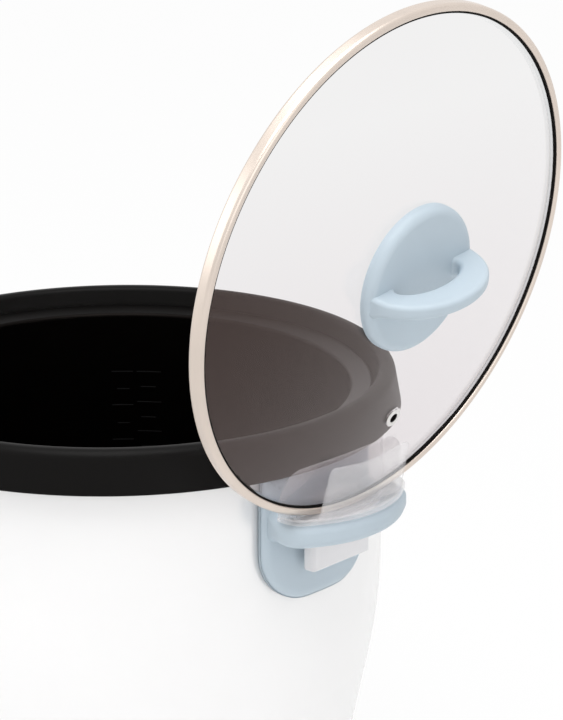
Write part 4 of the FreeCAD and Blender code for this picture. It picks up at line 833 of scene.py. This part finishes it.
def stood(points, lid):
    """Lid points from flat to standing: a turn about the lid's axis, then a lean in the holder."""
    spin, lean = lid.spin, lid.lean
    x, y, z = points[..., 0], points[..., 1], points[..., 2]
    across = x * math.cos(spin) - y * math.sin(spin)
    up = x * math.sin(spin) + y * math.cos(spin)
    return np.stack([
        LID_X + up * math.sin(lean) + z * math.cos(lean),
        across,
        LID_Z + up * math.cos(lean) - z * math.sin(lean)], axis=-1)


def dome_ball(lid):
    """Radius of the ball that the glass's outer face is a cap of, and the height of its middle."""
    crown = lid.dome / MM
    rise = crown + lid.edge / MM
    ball = (DOME_END ** 2 + rise ** 2) / (2 * rise)
    return ball, crown - ball


def dome_height(radius, lid):
    """Height of the glass's outer face.

    It is the ball's middle plus the root of the ball's radius squared less this radius squared.
    """
    ball, middle = dome_ball(lid)
    return middle + np.sqrt(ball ** 2 - np.square(radius))


class COOKER_OT_lid(CookerPiece, bpy.types.Operator):
    """Forms the domed glass, its gasket, the rolled steel rim and the steam vent, with a dark sleeve
    of painted shade in the vent's bore
    """

    bl_idname = "cooker.lid"
    bl_label = "Glass lid"

    def glass(self, lid):
        """Cap of a ball on a polar grid, bent so that a square of cells becomes the vent's hole.

        A point at (u, v) of the square goes to u times the root of 1 less v squared over 2, and
        likewise for v. The bend fades out over the cells around it. The rows run inwards, so that
        the faces point outwards. The second result marks the cells of the hole.
        """
        columns, vent = 308, lid.vent / MM
        screw_hole, edge = 4.0, 123.3
        inner_rows, fine_rows, outer_rows = 22, 5, 10
        half_cells, fade_start, fade_end, hole_reach = 2, 1.0, 2.5, 1.01
        turn_step = 2 * np.pi / columns
        cell = turn_step * vent
        reach, reach_turn = half_cells * cell, half_cells * turn_step
        rows = np.concatenate([
            np.linspace(screw_hole, vent - (fine_rows + 1) * cell, inner_rows),
            vent + cell * np.arange(-fine_rows, fine_rows + 1),
            np.linspace(vent + (fine_rows + 1) * cell, edge, outer_rows)])
        angle = np.linspace(0, 2 * np.pi, columns, endpoint=False)
        radius, angle = np.meshgrid(rows, angle, indexing="ij")
        u = (radius - vent) / reach
        v = (angle - 1.5 * np.pi) / reach_turn
        ring = np.maximum(abs(u), abs(v))
        size = np.maximum(ring, 1e-6)
        fade = np.clip((fade_end - size) / (fade_end - fade_start), 0, 1)
        bent_u = u * np.sqrt(1 - np.square(v / size) / 2)
        bent_v = v * np.sqrt(1 - np.square(u / size) / 2)
        radius = radius + (bent_u - u) * fade * reach
        angle = angle + (bent_v - v) * fade * reach_turn
        height = dome_height(radius, lid)
        grid = np.stack([radius * np.cos(angle), radius * np.sin(angle), height], axis=-1)
        beside = np.roll(ring, -1, axis=1)
        farthest = np.maximum.reduce([ring[:-1], ring[1:], beside[:-1], beside[1:]])
        return grid[::-1], farthest[::-1] < hole_reach

    def rim(self, lid):
        """Channel round the glass's edge with a bead in front, its section carried round."""
        edge, sheet = lid.radius / MM, 0.6
        inside, lip, lip_back, flange = edge - sheet, 121.1, 121.7, 122.6
        lip_foot, under_top, top = -0.3, 0.4, 1.0
        flange_foot, flange_top = -5.8, -5.2
        section = rounded([
            (lip, lip_foot, 0.2),
            (lip, top, 1.0),
            (edge, top, 1.85),
            (edge, flange_foot, 1.2),
            (flange, flange_foot, 0.2),
            (flange, flange_top, 0.2),
            (inside, flange_top, 0.5),
            (inside, under_top, 1.2),
            (lip_back, under_top, 0.3),
            (lip_back, lip_foot, 0.2),
        ])
        return turned(held(section, hold=0.25), LID_TURNS)

    def seal(self, lid):
        """Gasket between the glass's edge and the rim, its section carried round the lid's axis."""
        lip, step, wall, gap = 120.2, 121.0, 124.2, 0.1
        lip_top, top = 0.2, -0.4
        section = rounded([
            (lip, float(dome_height(lip, lid)) + gap, 0),
            (lip, lip_top, 0.2),
            (step, lip_top, 0.2),
            (step, top, 0),
            (wall, top, 0.2),
            (wall, float(dome_height(DOME_END, lid)) + gap, 0),
        ])
        return turned(section, LID_TURNS)

    def on_vent(self, section, lid):
        """Section turned about the vent's axis, which runs through the middle of the dome's ball.

        Heights of the section start at the glass's outer face.
        """
        ball, middle = dome_ball(lid)
        x, y, z = np.moveaxis(turned(held(rounded(section), hold=0.15), VENT_TURNS), -1, 0)
        tilt = math.asin(lid.vent / MM / ball)
        z = z + ball
        return np.stack([
            x,
            y * math.cos(tilt) - z * math.sin(tilt),
            middle + y * math.sin(tilt) + z * math.cos(tilt)], axis=-1)

    def vent(self, lid):
        """Eyelet: a thin flange on the glass and a short tube through it."""
        bore, tube, flange, foot, face, top = 2.4, 3.05, 4.6, -3.4, 0.08, 0.6
        return self.on_vent([
            (bore, foot, 0.15),
            (tube, foot, 0.15),
            (tube, face, 0),
            (flange, face, 0),
            (flange, top, 0.25),
            (bore, top, 0.25),
        ], lid)

    def bore_shade(self, lid):
        """Dark sleeve inside the eyelet: painted shade, standing for the shade that falls in the bore.
        """
        bore, outside, foot, top = 2.15, 2.38, -3.2, 0.35
        return self.on_vent(
            [(bore, foot, 0), (outside, foot, 0), (outside, top, 0), (bore, top, 0)], lid)

    def execute(self, context):
        lid, look = context.scene.cooker_lid, context.scene.cooker_finish
        # The gasket, the glass's edge and the vent's sleeve share this dark rubber; on the sleeve it
        # is painted shade
        dark = rubbery("seal_rubber_and_bore_shade", GASKET_RUBBER_AND_BORE_SHADE, specular=0.08)
        # Painted reflection: the rim's steel is tinted warm tan for the warm surroundings it mirrors
        steel = metal("rim_steel", look.rim, low=0.26, high=0.4, scale=25, depth=0.01)
        eyelet = moulded("vent_plastic", VENT_PLASTIC, rough=0.35, specular=0.4)

        def standing(points):
            """A section's ring, closed both ways, moved to the standing lid."""
            return [(stood(points, lid), True, True)]

        grid, hole = self.glass(lid)
        glass = piece(
            "lid_dome", [(stood(grid, lid), False, True)],
            lid_glass_finish("lid_glass", look.glass), "lid", ["lid_glass"],
            skip=hole, closed=False)
        glass.data.materials.append(dark)
        wall = glass.modifiers.new("Thickness", "SOLIDIFY")
        wall.thickness = lid.glass
        wall.offset = -1.0
        wall.use_even_offset = True
        wall.material_offset_rim = 1
        piece("lid_gasket", standing(self.seal(lid)), dark, "lid", ["lid_seal"], sharp=40)
        piece("lid_rim_band", standing(self.rim(lid)), steel, "lid", ["lid_rim"])
        piece("steam_vent", standing(self.vent(lid)), eyelet, "lid", ["vent_grommet"])
        # Painted shade: a dark sleeve inside the bore, where there is only shade
        piece("vent_bore_shade", standing(self.bore_shade(lid)), dark, "lid", sharp=40)
        return {"FINISHED"}


class COOKER_OT_knob(CookerPiece, bpy.types.Operator):
    """Shapes the lid's knob, a round plate with a crescent loop"""

    bl_idname = "cooker.knob"
    bl_label = "Lid knob"

    def plate(self, lid):
        """Disc turned about the lid's axis, round at its edge and hollowed to sit on the dome."""
        radius, face = lid.knob / MM, lid.knob_face / MM
        gap, edge = 0.12, 4.4
        under = np.linspace(radius, 0, 12)
        foot = float(dome_height(radius, lid)) + gap
        corners = [(0, face, 0), (radius, face, edge), (radius, foot, 0)]
        top = rounded(corners, closed=False, steps=14)
        hollow = np.column_stack([under, dome_height(under, lid) + gap])
        profile = np.concatenate([held(top, hold=0.3, closed=False), hollow[1:]])
        return turned(profile, KNOB_TURNS)

    def loop(self, lid):
        """Crescent between two half ellipses that stand on the plate, flat on top and round below.

        At a turn t an edge is at half its width times cos t, and at its rise times sin t above the
        plate. Towards the plate the section swells, most of all underneath.
        """
        face = lid.knob_face / MM
        outer_half, outer_rise = 34.4, 26.3
        inner_half, inner_rise = 22.0, 11.4
        half_deep, half_tall, fade = 6, 3.6, 3.5
        inner_swell, under_swell, over_swell = 2.0, -3.5, 0.8
        arc_points, root_points, root_depth, root_top = 121, 7, -5, -0.5
        angle = np.linspace(np.pi, 0, arc_points)
        drop = np.linspace(root_depth, root_top, root_points)

        def edge(half, rise):
            """Half an ellipse, with both ends carried straight down into the plate."""
            line = np.stack([half * np.cos(angle), rise * np.sin(angle)], axis=1)
            left = np.column_stack([np.full(root_points, -half), drop])
            return np.concatenate([left, line, left[::-1] * [-1, 1]])

        outer, inner = edge(outer_half, outer_rise), edge(inner_half, inner_rise)
        middle = (outer + inner) / 2
        depth = np.linalg.norm(outer - inner, axis=1, keepdims=True) / 2
        unit = (outer - inner) / (2 * depth)
        across = np.stack([unit[:, 0], np.zeros(len(unit)), unit[:, 1]], axis=1)
        path = np.stack([middle[:, 0], np.zeros(len(middle)), middle[:, 1] + face], axis=1)
        section = rounded([
            (-half_deep, -half_tall, 2.8),
            (half_deep, -half_tall, 3.0),
            (half_deep, half_tall, 2.4),
            (-half_deep, half_tall, 2.4),
        ], steps=9)
        swell = np.exp(-np.maximum(middle[:, 1:], 0) / fade)
        inside = np.where(section[:, 0] < 0, inner_swell, 0.0) * swell
        deep = section[None, :, 0] + np.sign(section[:, 0]) * (depth - half_deep) - inside
        tall = section[None, :, 1] + np.where(section[:, 1] < 0, under_swell, over_swell) * swell
        return swept(path, across, np.array([0.0, 1.0, 0.0]), np.stack([deep, tall], axis=-1))

    def execute(self, context):
        lid = context.scene.cooker_lid
        grids = [(stood(grid, lid), False, True) for grid in (self.plate(lid), self.loop(lid))]
        piece("knob", grids, bpy.data.materials["blue_plastic"], "lid", ["lid_knob"],
              sharp=50)
        return {"FINISHED"}


class COOKER_OT_front(CookerPiece, bpy.types.Operator):
    """Finishes the switch panel, its lever and lamps, the power inlet and the small steel parts"""

    bl_idname = "cooker.front"
    bl_label = "Switch panel and inlet"

    def execute(self, context):
        look = context.scene.cooker_finish
        dark = moulded("dark_plastic", DARK_PLASTIC, rough=0.45, specular=0.4)
        steel = metal("bare_steel", look.steel, low=0.25, high=0.4)
        dress(bpy.data.materials["blue_plastic"], "switch_panel", "lever_tab")
        dress(tinted_lens("amber_lens", AMBER), "lamp_lenses")
        dress(dark, "power_inlet", "micro_switch", "warm_thermostat", "side_heater",
              "sensor_ferrite")
        dress(metal("brass_pins", BRASS, low=0.2, high=0.35), "inlet_pins")
        dress(steel, "bottom_screws", "panel_screws", "inlet_screws", "handle_screws",
              "plate_screws", "knob_screw", "lever_pin", "lever_bracket", "cook_lever",
              "plate_posts", "heater_terminals", "sensor_sleeve", "magnet_plunger", "thermal_fuse")
        return {"FINISHED"}


class COOKER_OT_heater(CookerPiece, bpy.types.Operator):
    """Finishes the heating plate, the leads and the bulbs, and winds the sensor's spring"""

    bl_idname = "cooker.heater"
    bl_label = "Heater"

    def spring(self, turns=4, radius=14.0, wire=0.6, low=47.6, high=68.0):
        """Round wire on a helix: a circle about each point of the climb, its ends closed."""
        per_turn, sides = 40, 12
        share = np.linspace(0, 1, per_turn * turns + 1)
        share = np.concatenate([share[:1], share, share[-1:]])[:, None]
        thick = np.full_like(share, wire)
        thick[[0, -1]] = 0
        angle = 2 * np.pi * turns * share
        around = np.linspace(0, 2 * np.pi, sides, endpoint=False)[None]
        reach = radius + thick * np.cos(around)
        height = low + (high - low) * share + thick * np.sin(around)
        return np.stack([reach * np.cos(angle), reach * np.sin(angle), height], axis=-1)

    def execute(self, context):
        steel = bpy.data.materials["bare_steel"]
        leads = moulded("lead_cover", LEAD_COVER, rough=0.55, specular=0.3)
        dress(faced("turned_plate", CAST_PLATE), "heating_plate", "sensor_cap")
        spring = piece("sensor_coil", [(self.spring(), False, True)], steel, "cooker",
                       ["sensor_spring"])
        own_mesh(spring)
        dress(leads, "wiring")
        dress(rubbery("washer_rubber", WASHER_RUBBER), "knob_washer")
        dress(tinted_lens("bulb_glass", BULB_GLASS), "lamp_bulbs")
        return {"FINISHED"}


class COOKER_OT_stage(CookerPiece, bpy.types.Operator):
    """Sets the pale floor, the soft lamps, the world and the camera"""

    bl_idname = "cooker.stage"
    bl_label = "Stage"

    # Name, place, target, size and power of each lamp
    lamps = (
        ("top_softbox", (0.35, -0.35, 1.7), (0.1, 0.0, 0.2), 1.4, 20),
        ("left_softbox", (-0.9, -1.5, 0.9), (0.0, 0.0, 0.2), 1.2, 4),
        ("right_softbox", (1.7, -0.5, 0.55), (0.1, 0.0, 0.2), 1.2, 3.0),
    )
    fill_light = 0.655
    floor_glow = 0.94
    floor_reach, floor_lines = 9, 13
    lens, sensor = 149.92, 36.0
    camera_place = (1.02259, -1.01209, 0.69482)
    camera_tilt, camera_turn = 72.427, 41.985

    def seen_directly(self, tree):
        """1 for a ray from the camera, a mirror or clear material, else 0."""
        path = tree.nodes.new("ShaderNodeLightPath")
        seen = path.outputs["Is Camera Ray"]
        for kind in ("Is Glossy Ray", "Is Transmission Ray"):
            join = tree.nodes.new("ShaderNodeMath")
            join.operation = "MAXIMUM"
            tree.links.new(seen, join.inputs[0])
            tree.links.new(path.outputs[kind], join.inputs[1])
            seen = join.outputs["Value"]
        return seen

    def mixed(self, tree, share, first, second, output):
        """Sends a mix of two shaders to an output node."""
        mix = tree.nodes.new("ShaderNodeMixShader")
        tree.links.new(share, mix.inputs["Fac"])
        tree.links.new(first, mix.inputs[1])
        tree.links.new(second, mix.inputs[2])
        tree.links.new(mix.outputs["Shader"], tree.nodes[output].inputs["Surface"])

    def world(self, scene):
        """An even light from all round, which is white where it is seen directly."""
        world = bpy.data.worlds.new("soft_studio")
        scene.world = world
        world.use_nodes = True
        tree = world.node_tree
        fill = tree.nodes["Background"]
        set_sockets(fill, {"Color": (1, 1, 1, 1), "Strength": self.fill_light})
        white = tree.nodes.new("ShaderNodeBackground")
        set_sockets(white, {"Color": (1, 1, 1, 1)})
        self.mixed(tree, self.seen_directly(tree), fill.outputs["Background"],
                   white.outputs["Background"], "World Output")

    def floor(self, scene, base):
        """Flat grid on the table's plane: x and y run evenly, z is 0."""
        material, tree, shader = named_finish("pale_floor")
        mottle = noise(tree, scale=3, detail=2)
        tint(tree, shader, mottle, toned(base, 0.985), toned(base, 1.015))
        set_sockets(shader, {"Roughness": 0.9})
        glow = tree.nodes.new("ShaderNodeEmission")
        part = tree.nodes.new("ShaderNodeMath")
        part.operation = "MULTIPLY"
        part.inputs[1].default_value = self.floor_glow
        tree.links.new(self.seen_directly(tree), part.inputs[0])
        self.mixed(tree, part.outputs["Value"], shader.outputs["BSDF"], glow.outputs["Emission"],
                   "Material Output")
        count = self.floor_lines
        line = np.linspace(-self.floor_reach, self.floor_reach, count)
        x, y = np.meshgrid(line, line, indexing="ij")
        points = np.stack([x, y, np.zeros_like(x)], axis=-1)
        mesh = bpy.data.meshes.new("floor")
        faces = quads(count, count, False, False).reshape(-1, 4)[:, ::-1]
        mesh.from_pydata(points.reshape(-1, 3).tolist(), [], faces.tolist())
        mesh.materials.append(material)
        floor = bpy.data.objects.new("floor", mesh)
        scene.collection.objects.link(floor)

    def lamp(self, scene, name, place, target, size, power):
        """A round soft lamp that looks at a target."""
        data = bpy.data.lights.new(name, "AREA")
        data.shape = "DISK"
        data.size = size
        data.energy = power
        lamp = bpy.data.objects.new(name, data)
        lamp.location = place
        aim = Vector(target) - Vector(place)
        lamp.rotation_euler = aim.to_track_quat("-Z", "Y").to_euler()
        scene.collection.objects.link(lamp)

    def camera(self, scene):
        """The photograph's viewpoint."""
        view = bpy.data.cameras.new("photo_camera")
        view.lens = self.lens
        view.sensor_width = self.sensor
        camera = bpy.data.objects.new("photo_camera", view)
        camera.location = self.camera_place
        camera.rotation_euler = (
            math.radians(self.camera_tilt), 0.0, math.radians(self.camera_turn))
        scene.collection.objects.link(camera)
        scene.camera = camera

    def execute(self, context):
        scene = context.scene
        scene.view_settings.view_transform = "Standard"
        self.world(scene)
        self.floor(scene, scene.cooker_finish.floor)
        for lamp in self.lamps:
            self.lamp(scene, *lamp)
        self.camera(scene)
        return {"FINISHED"}


class COOKER_PT_panel(bpy.types.Panel):
    """Lists the cooker's pieces and settings"""

    bl_idname = "COOKER_PT_panel"
    bl_label = "Rice cooker"
    bl_space_type = "VIEW_3D"
    bl_region_type = "UI"
    bl_category = "Cooker"

    def draw(self, context):
        for operator in OPERATORS:
            self.layout.operator(operator.bl_idname)
        for name in GROUPS:
            settings = getattr(context.scene, name)
            box = self.layout.box()
            for key in settings.bl_rna.properties.keys():
                if key not in {"rna_type", "name"}:
                    box.prop(settings, key)


GROUPS = {
    "cooker_pot": CookerPot,
    "cooker_handle": CookerHandle,
    "cooker_holder": CookerHolder,
    "cooker_lid": CookerLid,
    "cooker_finish": CookerFinish,
}
OPERATORS = (
    COOKER_OT_barrel, COOKER_OT_collar, COOKER_OT_pot, COOKER_OT_handles, COOKER_OT_holder,
    COOKER_OT_lid, COOKER_OT_knob, COOKER_OT_front, COOKER_OT_heater, COOKER_OT_stage,
)


def register():
    """Registers the settings, operators and panel."""
    for name, group in GROUPS.items():
        bpy.utils.register_class(group)
        setattr(bpy.types.Scene, name, PointerProperty(type=group))
    for made in OPERATORS + (COOKER_PT_panel,):
        bpy.utils.register_class(made)


def unregister():
    """Removes the panel, operators and settings."""
    for made in (COOKER_PT_panel,) + OPERATORS[::-1]:
        bpy.utils.unregister_class(made)
    for name, group in GROUPS.items():
        delattr(bpy.types.Scene, name)
        bpy.utils.unregister_class(group)


def main():
    """Builds every piece in order."""
    register()
    for operator in OPERATORS:
        group, name = operator.bl_idname.split(".")
        getattr(getattr(bpy.ops, group), name)()


if __name__ == "__main__":
    main()
